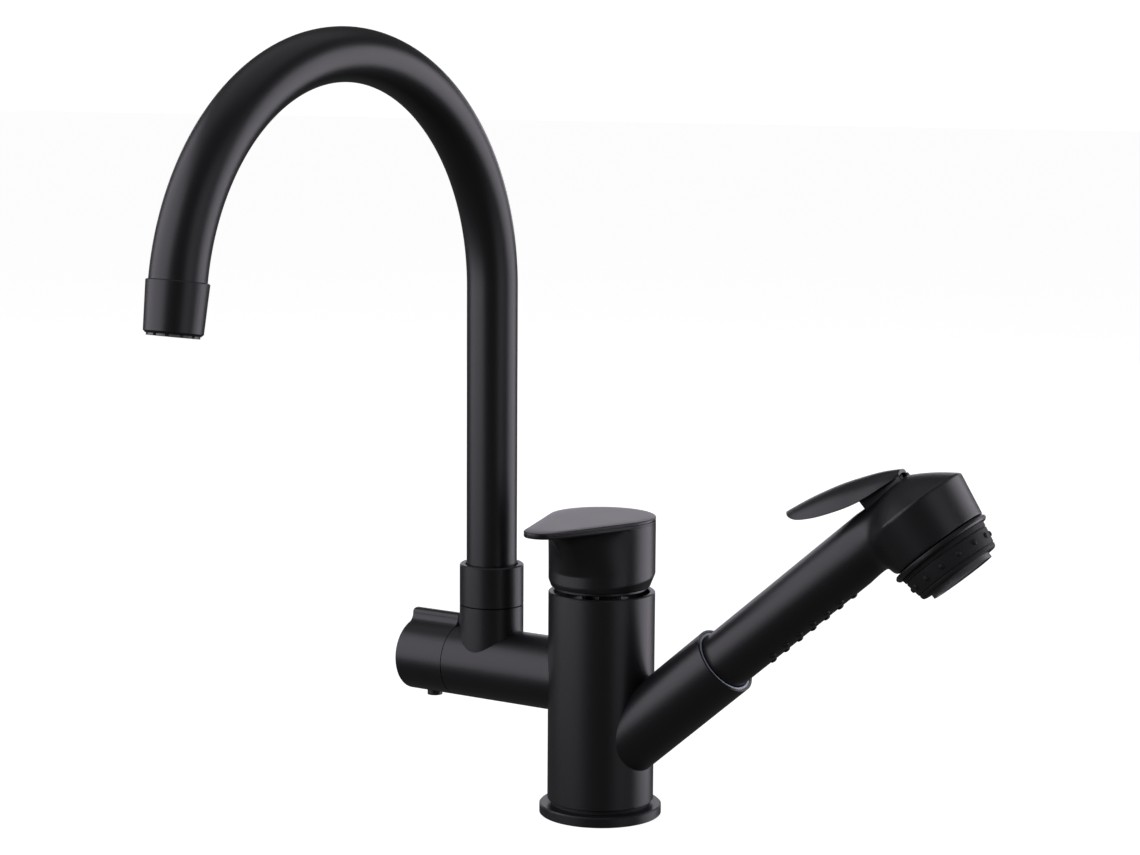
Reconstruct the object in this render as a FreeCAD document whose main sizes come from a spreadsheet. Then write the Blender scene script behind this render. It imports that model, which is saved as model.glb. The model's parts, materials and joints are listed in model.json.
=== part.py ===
import FreeCAD, Part
import Sketcher
import math
import os
import re
from FreeCAD import Placement, Rotation, Vector

# Deck-mounted kitchen mixer with a swivelling gooseneck spout and a pull-out hand spray.
# Millimetres, +Z up. The origin is the centre of the base ring on the top of the deck.
# The side arm points to -X, the hand spray's holder to +X and the lever to -Y.

doc = FreeCAD.newDocument("kitchen_mixer")
sheet = doc.addObject("Spreadsheet::Sheet", "sizes")

DRIVING_SIZES = [
    # base ring and the fixing under the deck
    ("flange_radius", 29.8, "outer radius of the base ring"),
    ("flange_height", 5.0, "height of the base ring"),
    ("seal_height", 1.6, "depth of the deck seal and its groove"),
    ("seal_inner", 22.5, "inner radius of the deck seal"),
    ("seal_width", 3.2, "radial width of the deck seal"),
    ("neck_gap", 2.0, "shadow gap between base ring and body"),
    ("neck_recess", 1.8, "how far the gap ring stands back from the body"),
    ("shank_radius", 16.3, "outer radius of the threaded shank"),
    ("shank_bore", 13.6, "bore of the shank, for the hose and inlet tubes"),
    ("shank_length", 62.0, "length of the shank below the deck"),
    ("shank_grip", 13.0, "length of shank screwed into the body"),
    ("deck_thickness", 30.0, "deck clamped between base ring and washers"),
    ("washer_radius", 27.0, "outer radius of the two washers"),
    ("rubber_thickness", 3.0, "rubber washer"),
    ("steel_thickness", 2.0, "steel washer"),
    ("nut_radius", 25.0, "corner radius of the fixing nut"),
    ("nut_height", 9.0, "height of the fixing nut"),
    # upright body
    ("body_radius", 25.9, "outer radius of the body"),
    ("body_top", 110.2, "height of the body's rim"),
    ("rim_wall", 2.5, "wall at the rim"),
    ("body_bore", 20.5, "radius of the lower chambers"),
    ("hose_ceiling", 56.0, "top of the hose chamber"),
    ("web_thickness", 2.6, "web between hose and outlet chambers"),
    ("seat_bottom", 74.6, "underside of the cartridge seat"),
    ("seat_top", 79.0, "top of the cartridge seat"),
    ("tube_radius", 4.0, "outer radius of the inlet tubes"),
    ("tube_wall", 0.8, "wall of the inlet tubes"),
    ("tube_spread", 7.5, "distance of an inlet tube from the centre plane"),
    ("tube_back", 5.0, "distance of the inlet tubes behind the axis"),
    ("tube_drop", 85.0, "how far the inlet tubes hang below the deck"),
    # mixing cartridge
    ("cartridge_radius", 17.5, "outer radius of the cartridge"),
    ("cartridge_shoulder", 98.0, "height of the cartridge's shoulder"),
    ("cartridge_neck", 13.3, "outer radius of the cartridge's neck"),
    ("neck_top", 106.0, "top of the cartridge's neck"),
    ("disc_radius", 10.5, "radius of the sliding ceramic disc"),
    ("disc_thickness", 4.0, "thickness of each ceramic disc"),
    ("turret_radius", 9.5, "radius of the cartridge's turning core"),
    ("turret_bottom", 94.0, "underside of the turning core"),
    ("turret_top", 121.0, "top of the turning core"),
    ("pivot_height", 118.0, "height of the lever's pivot pin"),
    ("pivot_pin_radius", 1.5, "radius of the lever's pivot pin"),
    ("clamp_radius", 21.4, "outer radius of the cartridge's clamp nut"),
    ("clamp_height", 6.2, "height of the clamp nut"),
    ("trim_thickness", 0.9, "thickness of the trim ring over the clamp nut"),
    # lever
    ("cap_bottom", 111.6, "underside of the lever's cap"),
    ("lever_top", 147.0, "flat top of the lever"),
    ("cap_radius", 25.9, "outer radius of the lever's cap"),
    ("cap_cavity", 20.8, "radius of the hollow in the cap"),
    ("cap_roof", 9.0, "thickness of the cap's roof"),
    ("relief_radius", 23.45, "radius of the cap's bottom edge"),
    ("relief_slope", 20.8, "half angle of the taper under the cap, degrees"),
    ("relief_shift", 1.25, "how far the bottom edge is moved to the front"),
    ("relief_lean", 1.85, "lean of the taper, degrees"),
    ("plate_thickness", 4.0, "thickness of the lever's plate"),
    ("plate_reach", 61.0, "distance of the lever's tip from the axis"),
    ("plate_tip_radius", 9.0, "radius of the lever's rounded tip"),
    ("stem_width", 7.0, "width of the lever's stem"),
    ("stem_depth", 8.0, "depth of the lever's stem"),
    ("stem_bottom", 103.0, "lower end of the stem"),
    ("stem_top", 134.0, "upper end of the stem"),
    ("boss_radius", 7.0, "radius of the stem's socket"),
    ("boss_bottom", 124.0, "lower end of the stem's socket"),
    ("grub_radius", 2.5, "radius of the lever's grub screw"),
    ("grub_height", 128.5, "height of the grub screw"),
    # side arm with its tee and the spout's swivel nut
    ("arm_height", 65.6, "height of the arm's axis"),
    ("arm_radius", 18.0, "outer radius of the arm"),
    ("arm_length", 83.2, "end of the arm from the body's axis"),
    ("arm_waterway", 6.4, "radius of the arm's waterway"),
    ("diverter_bore", 14.0, "bore for the diverter"),
    ("diverter_bottom", 50.0, "inner end of the diverter's bore from the body's axis"),
    ("tee_distance", 64.8, "distance of the spout's axis from the body's axis"),
    ("tee_wall", 1.55, "wall of the tee and the swivel nut outside their thread"),
    ("tee_top", 96.0, "top of the tee"),
    ("nut_top", 116.7, "top of the swivel nut"),
    ("bush_wall", 0.6, "wall of the bush between the pipe and the swivel nut"),
    ("thread_wall", 0.45, "how far the swivel nut's thread lies outside the clip"),
    ("nut_thread_length", 2.6, "length of thread inside the tee"),
    ("spout_seat", 80.0, "height where the pipe's tail sits"),
    # gooseneck spout
    ("pipe_radius", 12.5, "outer radius of the spout's pipe"),
    ("pipe_wall", 1.7, "wall of the spout's pipe"),
    ("bend_height", 254.3, "height where the bend begins"),
    ("bend_radius", 112.0, "radius of the bend's centre line"),
    ("bend_sweep", 171.5, "angle of the bend, degrees"),
    ("spout_turn", -1.8, "turn of the stored spout from the lever's direction, degrees"),
    ("clip_stand", 1.4, "how far the retaining clip stands out of the pipe"),
    ("clip_height", 91.8, "height of the retaining clip"),
    ("ring_section", 0.6, "radius of the spout's seal rings in section"),
    ("running_gap", 0.06, "radial clearance of turning and sliding fits"),
    ("aerator_stand", 1.1, "how far the aerator housing stands out past the pipe"),
    ("aerator_length", 22.6, "length of the aerator housing"),
    ("aerator_taper", 0.8, "loss of radius over the aerator housing"),
    ("insert_step", 1.1, "how far the aerator insert stands back from the pipe's outside"),
    ("insert_stand", 1.0, "how far the insert stands out"),
    # diverter knob
    ("knob_gap", 0.4, "gap between arm and knob"),
    ("knob_length", 28.6, "length of the knob"),
    ("knob_cavity", 14.6, "radius of the hollow in the knob"),
    ("knob_roof", 8.0, "thickness of the knob's closed end"),
    ("ridge_height", 5.5, "height of the grip ridge over the knob"),
    ("ridge_width", 5.6, "width of the grip ridge"),
    ("spindle_radius", 4.0, "radius of the diverter's spindle"),
    ("knob_screw_radius", 3.8, "radius of the screw under the knob"),
    ("knob_screw_stand", 2.2, "how far that screw stands out"),
    # holder for the hand spray
    ("holder_root", 25.1, "height where the holder's axis meets the body's axis"),
    ("holder_rise", 40.6, "rise of the holder's axis, degrees"),
    ("holder_wall", 1.2, "wall of the holder round its bore"),
    ("holder_end", 90.9, "upper end of the holder, along its axis"),
    ("holder_seat", 50.0, "inner end of the holder's bore, along its axis"),
    ("hose_hole", 10.0, "radius of the hose passage"),
    ("liner_recess", 0.9, "how far the liner sits below the holder's end"),
    ("liner_length", 32.0, "length of the holder's liner"),
    ("liner_wall", 1.41, "wall of the holder's liner"),
    # hand spray, along the holder's axis
    ("handle_radius", 14.14, "outer radius of the handle"),
    ("handle_wall", 2.4, "wall of the handle"),
    ("handle_bottom", 51.0, "lower end of the handle"),
    ("head_axis", 215.6, "place of the spray head's axis"),
    ("handset_twist", 4.5, "turn of the stored hand spray about its axis, degrees"),
    ("head_radius", 24.1, "radius of the head's lower edge"),
    ("head_drop", 20.0, "head's lower edge below the handle's axis"),
    ("shoulder_radius", 25.9, "radius of the head's upper edge"),
    ("shoulder_shift", 1.8, "how far the upper edge leans forward"),
    ("crown_radius", 8.0, "radius of the head's crown"),
    ("crown_height", 13.6, "height of the crown over the handle's axis"),
    ("head_wall", 2.6, "wall of the spray head"),
    ("bracket_back", 16.6, "lower end of the trigger's bracket before the head's axis"),
    ("bracket_ahead", 7.0, "upper end of the trigger's bracket past the head's axis"),
    ("bracket_top", 15.6, "top of the trigger's bracket over the axis"),
    ("bracket_width", 10.4, "width of the trigger's bracket"),
    ("slot_width", 4.8, "slot for the trigger's rib"),
    ("nub_pitch", 9.0, "spacing of the grip nubs"),
    ("nub_start", 112.3, "place of the first grip nub"),
    ("nub_radius", 1.9, "radius of a grip nub"),
    ("nub_stand", 0.75, "how far a nub stands out of the handle"),
    ("nub_count", 7, "grip nubs in a row"),
    ("lip_radius", 24.55, "radius of the ring at the head's lower edge"),
    ("lip_height", 2.5, "height of that ring"),
    ("bumper_top_radius", 22.4, "upper radius of the rubber bumper"),
    ("bumper_low_radius", 20.1, "lower radius of the rubber bumper"),
    ("bumper_height", 12.5, "height of the rubber bumper"),
    ("bumper_nubs", 14, "nubs round the rubber bumper"),
    ("face_radius", 15.85, "radius of the spray face"),
    ("face_stand", 2.4, "how far the spray face stands below the bumper"),
    ("jet_count", 12, "jets in the spray face's outer row"),
    # trigger
    ("pivot_ahead", 3.4, "place of the trigger's pin past the head's axis"),
    ("trigger_height", 13.6, "height of the trigger's pin over the axis"),
    ("trigger_pin_radius", 1.2, "radius of the trigger's pin"),
    ("leaf_thickness", 2.0, "thickness of the trigger's leaf"),
    ("leaf_arch", 15.5, "radius of the leaf's arched section"),
    ("leaf_half_width", 12.0, "half the leaf's greatest width"),
    ("leaf_length", 60.0, "length of the leaf"),
    ("leaf_tip_height", 35.4, "height of the leaf's tip over the axis"),
    ("rib_thickness", 4.4, "thickness of the trigger's rib"),
    ("valve_back", 7.6, "place of the valve pin before the head's axis"),
    ("valve_pin_radius", 1.8, "radius of the valve pin"),
    ("clearance", 0.4, "gap between pieces that pass each other"),
]

for row, (alias, number, note) in enumerate(DRIVING_SIZES, start=1):
    sheet.set(f"A{row}", note)
    sheet.set(f"B{row}", str(number))
    sheet.setAlias(f"B{row}", alias)
doc.recompute()
ALIASES = {alias for alias, _, _ in DRIVING_SIZES}


# sizes that follow from the driving ones
FITTED_SIZES = {
    "holder_bore": "(handle_radius + clearance + liner_wall)",
    "holder_radius": "(handle_radius + clearance + liner_wall + holder_wall)",
    "nut_bore": "(pipe_radius + bush_wall)",
    "clip_radius": "(pipe_radius + clip_stand)",
    "nut_thread": "(pipe_radius + clip_stand + thread_wall)",
    "tee_radius": "(pipe_radius + clip_stand + thread_wall + tee_wall)",
    "aerator_radius": "(pipe_radius + aerator_stand)",
    "insert_radius": "(pipe_radius - insert_step)",
    "bracket_start": "(head_axis - bracket_back)",
    "bracket_end": "(head_axis + bracket_ahead)",
    "trigger_pivot": "(head_axis + pivot_ahead)",
    "valve_place": "(head_axis - valve_back)",
}


def bound(text):
    """Write a formula on sheet names as an expression of the document."""
    spelled = re.sub(r"[a-z]+(?:_[a-z]+)*", lambda m: FITTED_SIZES.get(m[0], m[0]), str(text))
    return re.sub(r"[a-z]+(?:_[a-z]+)*", lambda m: "sizes." + m[0] if m[0] in ALIASES else m[0], spelled)


def value(text):
    return float(sheet.evalExpression(bound(text)))


def tie(item, **formulas):
    """Bind an object's properties to formulas; '__' in a name stands for a dot."""
    for name, text in formulas.items():
        item.setExpression(name.replace("__", "."), bound(text))
    return item


# Each frame is the Placement that stands a sub-part where it belongs.
UPRIGHT = "placement(vector(0; 0; 0); rotationz(0))"
ARM_FRAME = "placement(vector(0; 0; arm_height); rotationy(-90))"
SPOUT_FRAME = "placement(vector(-tee_distance; 0; 0); rotationz(spout_turn))"
TEE_FRAME = "placement(vector(-tee_distance; 0; 0); rotationz(0))"
HOLDER_FRAME = "placement(vector(0; 0; holder_root); rotationy(90 - holder_rise))"
HANDSET_FRAME = ("placement(vector(0; 0; holder_root);"
                 " rotationy(90 - holder_rise) * rotationz(handset_twist))")
HEAD_FRAME = HANDSET_FRAME + " * placement(vector(0; 0; head_axis); rotationy(90))"
OUTLET_FRAME = (SPOUT_FRAME + " * placement(vector(0; -bend_radius * (1 - cos(bend_sweep));"
                " bend_height + bend_radius * sin(bend_sweep)); rotationx(bend_sweep))")

sub_parts = []


def keep(item, label, frame=UPRIGHT):
    """Name a finished sub-part and stand it in its frame."""
    item.Label = label
    item.setExpression("Placement", bound(frame))
    sub_parts.append(item)
    return item


def plane(body, role):
    return next(face for face in body.Origin.OriginFeatures if face.Role == role)


def new_sketch(body, name, role, offset=None):
    sketch = body.newObject("Sketcher::SketchObject", name)
    sketch.AttachmentSupport = [(plane(body, role), "")]
    sketch.MapMode = "FlatFace"
    if offset is not None:
        sketch.setExpression("AttachmentOffset.Base.z", bound(offset))
    return sketch


def fix_point(sketch, curve, end, x, y):
    """Hold one end of a curve at two formulas."""
    for kind, text in (("DistanceX", x), ("DistanceY", y)):
        index = sketch.addConstraint(Sketcher.Constraint(kind, curve, end, value(text)))
        sketch.setExpression(f"Constraints[{index}]", bound(text))


def add_outline(sketch, corners):
    """Draw a closed polygon whose corners are pairs of formulas."""
    first = sketch.GeometryCount
    points = [Vector(value(x), value(y), 0) for x, y in corners]
    count = len(points)
    for i in range(count):
        sketch.addGeometry(Part.LineSegment(points[i], points[(i + 1) % count]))
    for i in range(count):
        sketch.addConstraint(Sketcher.Constraint("Coincident", first + i, 2, first + (i + 1) % count, 1))
    for i, (x, y) in enumerate(corners):
        fix_point(sketch, first + i, 1, x, y)


def add_circle(sketch, radius, x="0", y="0"):
    curve = sketch.addGeometry(Part.Circle(Vector(value(x), value(y), 0), Vector(0, 0, 1), value(radius)))
    index = sketch.addConstraint(Sketcher.Constraint("Radius", curve, value(radius)))
    sketch.setExpression(f"Constraints[{index}]", bound(radius))
    fix_point(sketch, curve, 3, x, y)


def new_body(name):
    return doc.addObject("PartDesign::Body", name)


def pad(body, name, draw, length, offset=None, role="XY_Plane", middle=False):
    sketch = new_sketch(body, name + "_sketch", role, offset)
    draw(sketch)
    feature = body.newObject("PartDesign::Pad", name)
    feature.Profile = sketch
    feature.Midplane = middle
    tie(feature, Length=length)
    sketch.Visibility = False
    doc.recompute()
    return feature


def cut_body(body, name, draw, length, offset=None, role="XY_Plane", middle=False, reverse=False):
    """Pocket that has to remove something, or the script stops."""
    before = body.Shape.Volume
    sketch = new_sketch(body, name + "_sketch", role, offset)
    draw(sketch)
    feature = body.newObject("PartDesign::Pocket", name)
    feature.Profile = sketch
    feature.Midplane = middle
    feature.Reversed = reverse
    tie(feature, Length=length)
    doc.recompute()
    if body.Shape.Volume >= before - 1e-3:
        raise RuntimeError(f"{name} cuts nothing")
    return feature


def turned(name, corners, frame=UPRIGHT):
    """A turned piece: its half section, as (radius, height) formulas, revolved once."""
    body = new_body(name)
    sketch = new_sketch(body, name + "_section", "XZ_Plane")
    add_outline(sketch, corners)
    turn = body.newObject("PartDesign::Revolution", name + "_turn")
    turn.Profile = sketch
    turn.ReferenceAxis = (sketch, ["V_Axis"])
    turn.Angle = 360
    doc.recompute()
    return keep(body, name, frame)


def ring_section(inner, outer, low, high, chamfer="0.4"):
    """Half section of a ring with its outer edges broken."""
    return [(inner, low), (f"{outer} - {chamfer}", low), (outer, f"{low} + {chamfer}"),
            (outer, f"{high} - {chamfer}"), (f"{outer} - {chamfer}", high), (inner, high)]


def edges_where(shape, test):
    return [f"Edge{i}" for i, edge in enumerate(shape.Edges, start=1) if test(edge)]


def round_edges(body, name, radius, test, kind="PartDesign::Fillet"):
    """Fillet or chamfer the edges of a body that pass a test."""
    doc.recompute()
    names = edges_where(body.Shape, test)
    if not names:
        raise RuntimeError(f"{name} finds no edge")
    base = body.Tip
    feature = body.newObject(kind, name)
    feature.Base = (base, names)
    tie(feature, **{"Size" if kind.endswith("Chamfer") else "Radius": radius})
    doc.recompute()
    return feature


def cylinder(name, radius, height, frame=UPRIGHT, start="0"):
    """Part cylinder along the frame's Z, from a start height."""
    item = doc.addObject("Part::Cylinder", name)
    tie(item, Radius=radius, Height=height)
    item.setExpression("Placement", bound(f"{frame} * placement(vector(0; 0; {start}); rotationz(0))"))
    return item


def combine(kind, name, *items):
    """Part::Cut of a base and a tool, or Part::MultiFuse / MultiCommon of several."""
    item = doc.addObject(kind, name)
    if kind == "Part::Cut":
        item.Base, item.Tool = items
    else:
        item.Shapes = list(items)
    doc.recompute()
    return item


# ---- base ring, seals and the fixing under the deck ----

turned("base_flange", [
    ("shank_radius + clearance", "0"), ("seal_inner", "0"), ("seal_inner", "seal_height"),
    ("seal_inner + seal_width", "seal_height"), ("seal_inner + seal_width", "0"),
    ("flange_radius - 0.3", "0"), ("flange_radius", "0.3"),
    ("flange_radius", "flange_height - 0.6"), ("flange_radius - 0.6", "flange_height"),
    ("shank_radius + clearance", "flange_height")])

turned("deck_seal", [
    ("seal_inner", "0"), ("seal_inner + seal_width", "0"),
    ("seal_inner + seal_width", "seal_height"), ("seal_inner", "seal_height")])

turned("neck_ring", [
    ("shank_radius + clearance", "flange_height"), ("body_radius - neck_recess", "flange_height"),
    ("body_radius - neck_recess", "flange_height + neck_gap"),
    ("shank_radius + clearance", "flange_height + neck_gap")])

turned("mounting_shank", [
    ("shank_bore", "-shank_length"), ("shank_radius - 1", "-shank_length"),
    ("shank_radius", "1 - shank_length"), ("shank_radius", "flange_height + neck_gap + shank_grip"),
    ("shank_bore", "flange_height + neck_gap + shank_grip")])

turned("rubber_washer", ring_section(
    "shank_radius + clearance", "washer_radius", "-deck_thickness - rubber_thickness", "-deck_thickness"))

turned("steel_washer", ring_section(
    "shank_radius + clearance", "washer_radius - 1",
    "-deck_thickness - rubber_thickness - steel_thickness", "-deck_thickness - rubber_thickness"))


def draw_hexagon(sketch):
    corners = [(f"nut_radius * cos({60 * i})", f"nut_radius * sin({60 * i})") for i in range(6)]
    add_outline(sketch, corners)
    add_circle(sketch, "shank_radius")


fixing_nut = new_body("fixing_nut")
pad(fixing_nut, "nut_blank", draw_hexagon, "nut_height",
    offset="-deck_thickness - rubber_thickness - steel_thickness - nut_height")
keep(fixing_nut, "fixing_nut")

# ---- upright body ----

BODY_BOTTOM = "flange_height + neck_gap"
SHANK_END = "flange_height + neck_gap + shank_grip"
CLAMP_TOP = "cartridge_shoulder + clamp_height"

body_blank = turned("body_blank", [
    ("shank_radius", BODY_BOTTOM), ("body_radius - 0.4", BODY_BOTTOM),
    ("body_radius", f"{BODY_BOTTOM} + 0.4"), ("body_radius", "body_top - 0.5"),
    ("body_radius - 0.5", "body_top"), ("body_radius - rim_wall + 0.4", "body_top"),
    ("body_radius - rim_wall", "body_top - 0.4"), ("body_radius - rim_wall", CLAMP_TOP),
    ("clamp_radius + 0.1", CLAMP_TOP), ("clamp_radius + 0.1", "cartridge_shoulder"),
    ("cartridge_radius + 0.1", "cartridge_shoulder"), ("cartridge_radius + 0.1", "seat_top"),
    ("0", "seat_top"), ("0", "seat_bottom"), ("body_bore", "seat_bottom"),
    ("body_bore", "hose_ceiling + web_thickness"), ("0", "hose_ceiling + web_thickness"),
    ("0", "hose_ceiling"), ("body_bore", "hose_ceiling"), ("body_bore", SHANK_END),
    ("shank_radius", SHANK_END)])
sub_parts.remove(body_blank)

TUBE_SIDES = (("hot", 1), ("cold", -1))


def tube_frame(side):
    return f"placement(vector({side} * tube_spread; tube_back; 0); rotationz(0))"


ports = [cylinder(f"{word}_port", "tube_radius", "seat_top - hose_ceiling + 2", tube_frame(side),
                  "hose_ceiling - 1") for word, side in TUBE_SIDES]
outlet_port = cylinder("outlet_port", "tube_radius + 0.6", "seat_top - seat_bottom + 2",
                       "placement(vector(0; -tube_spread; 0); rotationz(0))", "seat_bottom - 1")
arm_port = cylinder("arm_port", "arm_waterway", "body_radius - body_bore + 6", ARM_FRAME, "body_bore - 3")
hose_port = cylinder("hose_port", "hose_hole", "body_radius + 14", HOLDER_FRAME, "14")
body_ports = combine("Part::MultiFuse", "body_ports", *ports, outlet_port, arm_port, hose_port)
keep(combine("Part::Cut", "body_shell", body_blank, body_ports), "body_shell")

inlet_tubes = []
for word, side in TUBE_SIDES:
    outside = cylinder(f"{word}_tube_outside", "tube_radius", "tube_drop + seat_top", tube_frame(side), "-tube_drop")
    inside = cylinder(f"{word}_tube_inside", "tube_radius - tube_wall", "tube_drop + seat_top + 2",
                      tube_frame(side), "-tube_drop - 1")
    inlet_tubes.append(combine("Part::Cut", f"{word}_tube", outside, inside))
keep(combine("Part::MultiFuse", "inlet_tubes", *inlet_tubes), "inlet_tubes")

# ---- mixing cartridge ----

DISC_SEAT = "seat_top + 2"
FIXED_TOP = f"{DISC_SEAT} + disc_thickness"
SLIDER_TOP = f"{FIXED_TOP} + disc_thickness"
HOUSING_WALL = 1.4

turned("cartridge_housing", [
    (f"cartridge_radius - {HOUSING_WALL}", "seat_top"), ("cartridge_radius", "seat_top"),
    ("cartridge_radius", "cartridge_shoulder"), ("cartridge_neck", "cartridge_shoulder"),
    ("cartridge_neck", "neck_top"), ("turret_radius + running_gap", "neck_top"),
    ("turret_radius + running_gap", "cartridge_shoulder - 3"),
    (f"cartridge_radius - {HOUSING_WALL}", "cartridge_shoulder - 3")])


def disc_ports(name, frame, start, height):
    tools = [cylinder(f"{name}_{word}_port", "tube_radius - tube_wall", height,
                      f"{frame} * placement(vector({side} * tube_spread; tube_back; 0); rotationz(0))", start)
             for word, side in TUBE_SIDES]
    tools.append(cylinder(f"{name}_outlet_port", "tube_radius + 0.6", height,
                          f"{frame} * placement(vector(0; -tube_spread; 0); rotationz(0))", start))
    return combine("Part::MultiFuse", f"{name}_ports", *tools)


for name, radius, low, height in (
        ("cartridge_base", f"cartridge_radius - {HOUSING_WALL}", "seat_top", "2"),
        ("fixed_ceramic_disc", f"cartridge_radius - {HOUSING_WALL} - 0.1", DISC_SEAT, "disc_thickness")):
    blank = cylinder(f"{name}_blank", radius, height, UPRIGHT, low)
    tools = disc_ports(name, UPRIGHT, f"{low} - 1", f"{height} + 2")
    keep(combine("Part::Cut", name, blank, tools), name)

turned("sliding_ceramic_disc", [
    ("0", f"{FIXED_TOP} + 1.6"), ("disc_radius - 4", f"{FIXED_TOP} + 1.6"), ("disc_radius - 4", FIXED_TOP),
    ("disc_radius", FIXED_TOP), ("disc_radius", f"{SLIDER_TOP}"), ("0", f"{SLIDER_TOP}")])

turned("clamp_nut", ring_section("cartridge_neck + 0.1", "clamp_radius", "cartridge_shoulder", CLAMP_TOP))

turned("trim_ring", [
    ("cartridge_neck + 0.1", CLAMP_TOP), ("body_radius - rim_wall - 0.1", CLAMP_TOP),
    ("body_radius - rim_wall - 0.1", f"{CLAMP_TOP} + trim_thickness"),
    ("cartridge_neck + 0.1", f"{CLAMP_TOP} + trim_thickness")])

turret_core = cylinder("turret_core", "turret_radius", "turret_top - turret_bottom", UPRIGHT, "turret_bottom")
stem_slot = doc.addObject("Part::Box", "stem_slot")
tie(stem_slot, Length="stem_width + 2 * clearance", Width="turret_radius + stem_depth / 2 + 2.4",
    Height="turret_top - turret_bottom + 2")
tie(stem_slot, Placement="placement(vector(-stem_width / 2 - clearance; -turret_radius - 1;"
                         " turret_bottom - 1); rotationz(0))")
PIN_FRAME = "placement(vector(0; 0; pivot_height); rotationy(90))"
pin_hole = cylinder("pin_hole", "pivot_pin_radius", "2 * turret_radius + 2", PIN_FRAME, "-turret_radius - 1")
turret_tools = combine("Part::MultiFuse", "turret_tools", stem_slot, pin_hole)
keep(combine("Part::Cut", "cartridge_turret", turret_core, turret_tools), "cartridge_turret")
keep(cylinder("lever_pivot_pin", "pivot_pin_radius", "2 * turret_radius - 1.2", PIN_FRAME,
              "0.6 - turret_radius"), "lever_pivot_pin", PIN_FRAME
     + " * placement(vector(0; 0; 0.6 - turret_radius); rotationz(0))")

# ---- lever ----

stem_bar = doc.addObject("Part::Box", "stem_bar")
tie(stem_bar, Length="stem_width", Width="stem_depth", Height="stem_top - stem_bottom")
tie(stem_bar, Placement="placement(vector(-stem_width / 2; -stem_depth / 2; stem_bottom); rotationz(0))")
stem_hole = cylinder("stem_hole", "pivot_pin_radius + running_gap", "stem_width + 2", PIN_FRAME,
                     "-stem_width / 2 - 1")
keep(combine("Part::Cut", "lever_stem", stem_bar, stem_hole), "lever_stem")

PLATE_ANGLE = "asin((cap_radius - plate_tip_radius) / (plate_reach - plate_tip_radius))"


def draw_plate(sketch):
    """The cap's circle drawn out to a rounded tip, with tangent sides."""
    tip = Vector(0, value("plate_tip_radius - plate_reach"), 0)
    lean = math.radians(value(PLATE_ANGLE))
    cap, end = value("cap_radius"), value("plate_tip_radius")
    reach = Vector(math.cos(lean), -math.sin(lean), 0)
    mirror = Vector(-reach.x, reach.y, 0)
    up = Vector(0, 0, 1)
    back = sketch.addGeometry(Part.ArcOfCircle(Part.Circle(Vector(), up, cap), -lean, math.pi + lean))
    left = sketch.addGeometry(Part.LineSegment(mirror * cap, tip + mirror * end))
    front = sketch.addGeometry(Part.ArcOfCircle(Part.Circle(tip, up, end), math.pi + lean, 2 * math.pi - lean))
    right = sketch.addGeometry(Part.LineSegment(tip + reach * end, reach * cap))
    for one, end_one, two, end_two in ((back, 2, left, 1), (left, 2, front, 1), (front, 2, right, 1),
                                       (right, 2, back, 1)):
        sketch.addConstraint(Sketcher.Constraint("Tangent", one, end_one, two, end_two))
    for curve, radius, y in ((back, "cap_radius", "0"), (front, "plate_tip_radius",
                                                        "plate_tip_radius - plate_reach")):
        index = sketch.addConstraint(Sketcher.Constraint("Radius", curve, value(radius)))
        sketch.setExpression(f"Constraints[{index}]", bound(radius))
        fix_point(sketch, curve, 3, "0", y)


plate = new_body("lever_plate")
pad(plate, "plate_pad", draw_plate, "plate_thickness", offset="lever_top - plate_thickness")
round_edges(plate, "plate_top_edge", "0.5", lambda e: abs(e.BoundBox.ZMin - value("lever_top")) < 1e-3)
round_edges(plate, "plate_low_edge", "1.2",
            lambda e: abs(e.BoundBox.ZMax - value("lever_top - plate_thickness")) < 1e-3)
cap_barrel = cylinder("cap_barrel", "cap_radius", "lever_top - cap_bottom - 0.6", UPRIGHT, "cap_bottom")
cap_taper = doc.addObject("Part::Cone", "cap_taper")
tie(cap_taper, Radius1="relief_radius", Height="lever_top - cap_bottom",
    Radius2="relief_radius + (lever_top - cap_bottom) * tan(relief_slope)",
    Placement="placement(vector(0; -relief_shift; cap_bottom); rotationx(-relief_lean))")
cap_outside = combine("Part::MultiCommon", "cap_outside", cap_barrel, cap_taper)
cap_hollow = cylinder("cap_hollow", "cap_cavity", "lever_top - cap_bottom - cap_roof + 10", UPRIGHT,
                      "cap_bottom - 10")
cap_solid = combine("Part::MultiFuse", "cap_solid", cap_outside, plate)
cap_shell = combine("Part::Cut", "cap_shell", cap_solid, cap_hollow)
boss = cylinder("stem_boss", "boss_radius", "lever_top - cap_roof - boss_bottom + 1", UPRIGHT, "boss_bottom")
cap_with_boss = combine("Part::MultiFuse", "cap_with_boss", cap_shell, boss)
socket = doc.addObject("Part::Box", "stem_socket")
tie(socket, Length="stem_width", Width="stem_depth", Height="stem_top - boss_bottom + 1",
    Placement="placement(vector(-stem_width / 2; -stem_depth / 2; boss_bottom - 1); rotationz(0))")
GRUB_FRAME = "placement(vector(0; 0; grub_height); rotationx(-90))"
grub_hole = cylinder("grub_hole", "grub_radius", "cap_radius", GRUB_FRAME, "stem_depth / 2")
lever_tools = combine("Part::MultiFuse", "lever_tools", socket, grub_hole)
keep(combine("Part::Cut", "lever_handle", cap_with_boss, lever_tools), "lever_handle")

GRUB_LENGTH = 5
keep(cylinder("lever_grub_screw", "grub_radius", str(GRUB_LENGTH), GRUB_FRAME, "stem_depth / 2"),
     "lever_grub_screw", GRUB_FRAME + " * placement(vector(0; 0; stem_depth / 2); rotationz(0))")
keep(cylinder("index_plug", "grub_radius", "cap_radius - cap_cavity - 0.4", GRUB_FRAME, "cap_cavity"),
     "index_plug", GRUB_FRAME + " * placement(vector(0; 0; cap_cavity); rotationz(0))")

# ---- side arm with its tee ----

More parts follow.
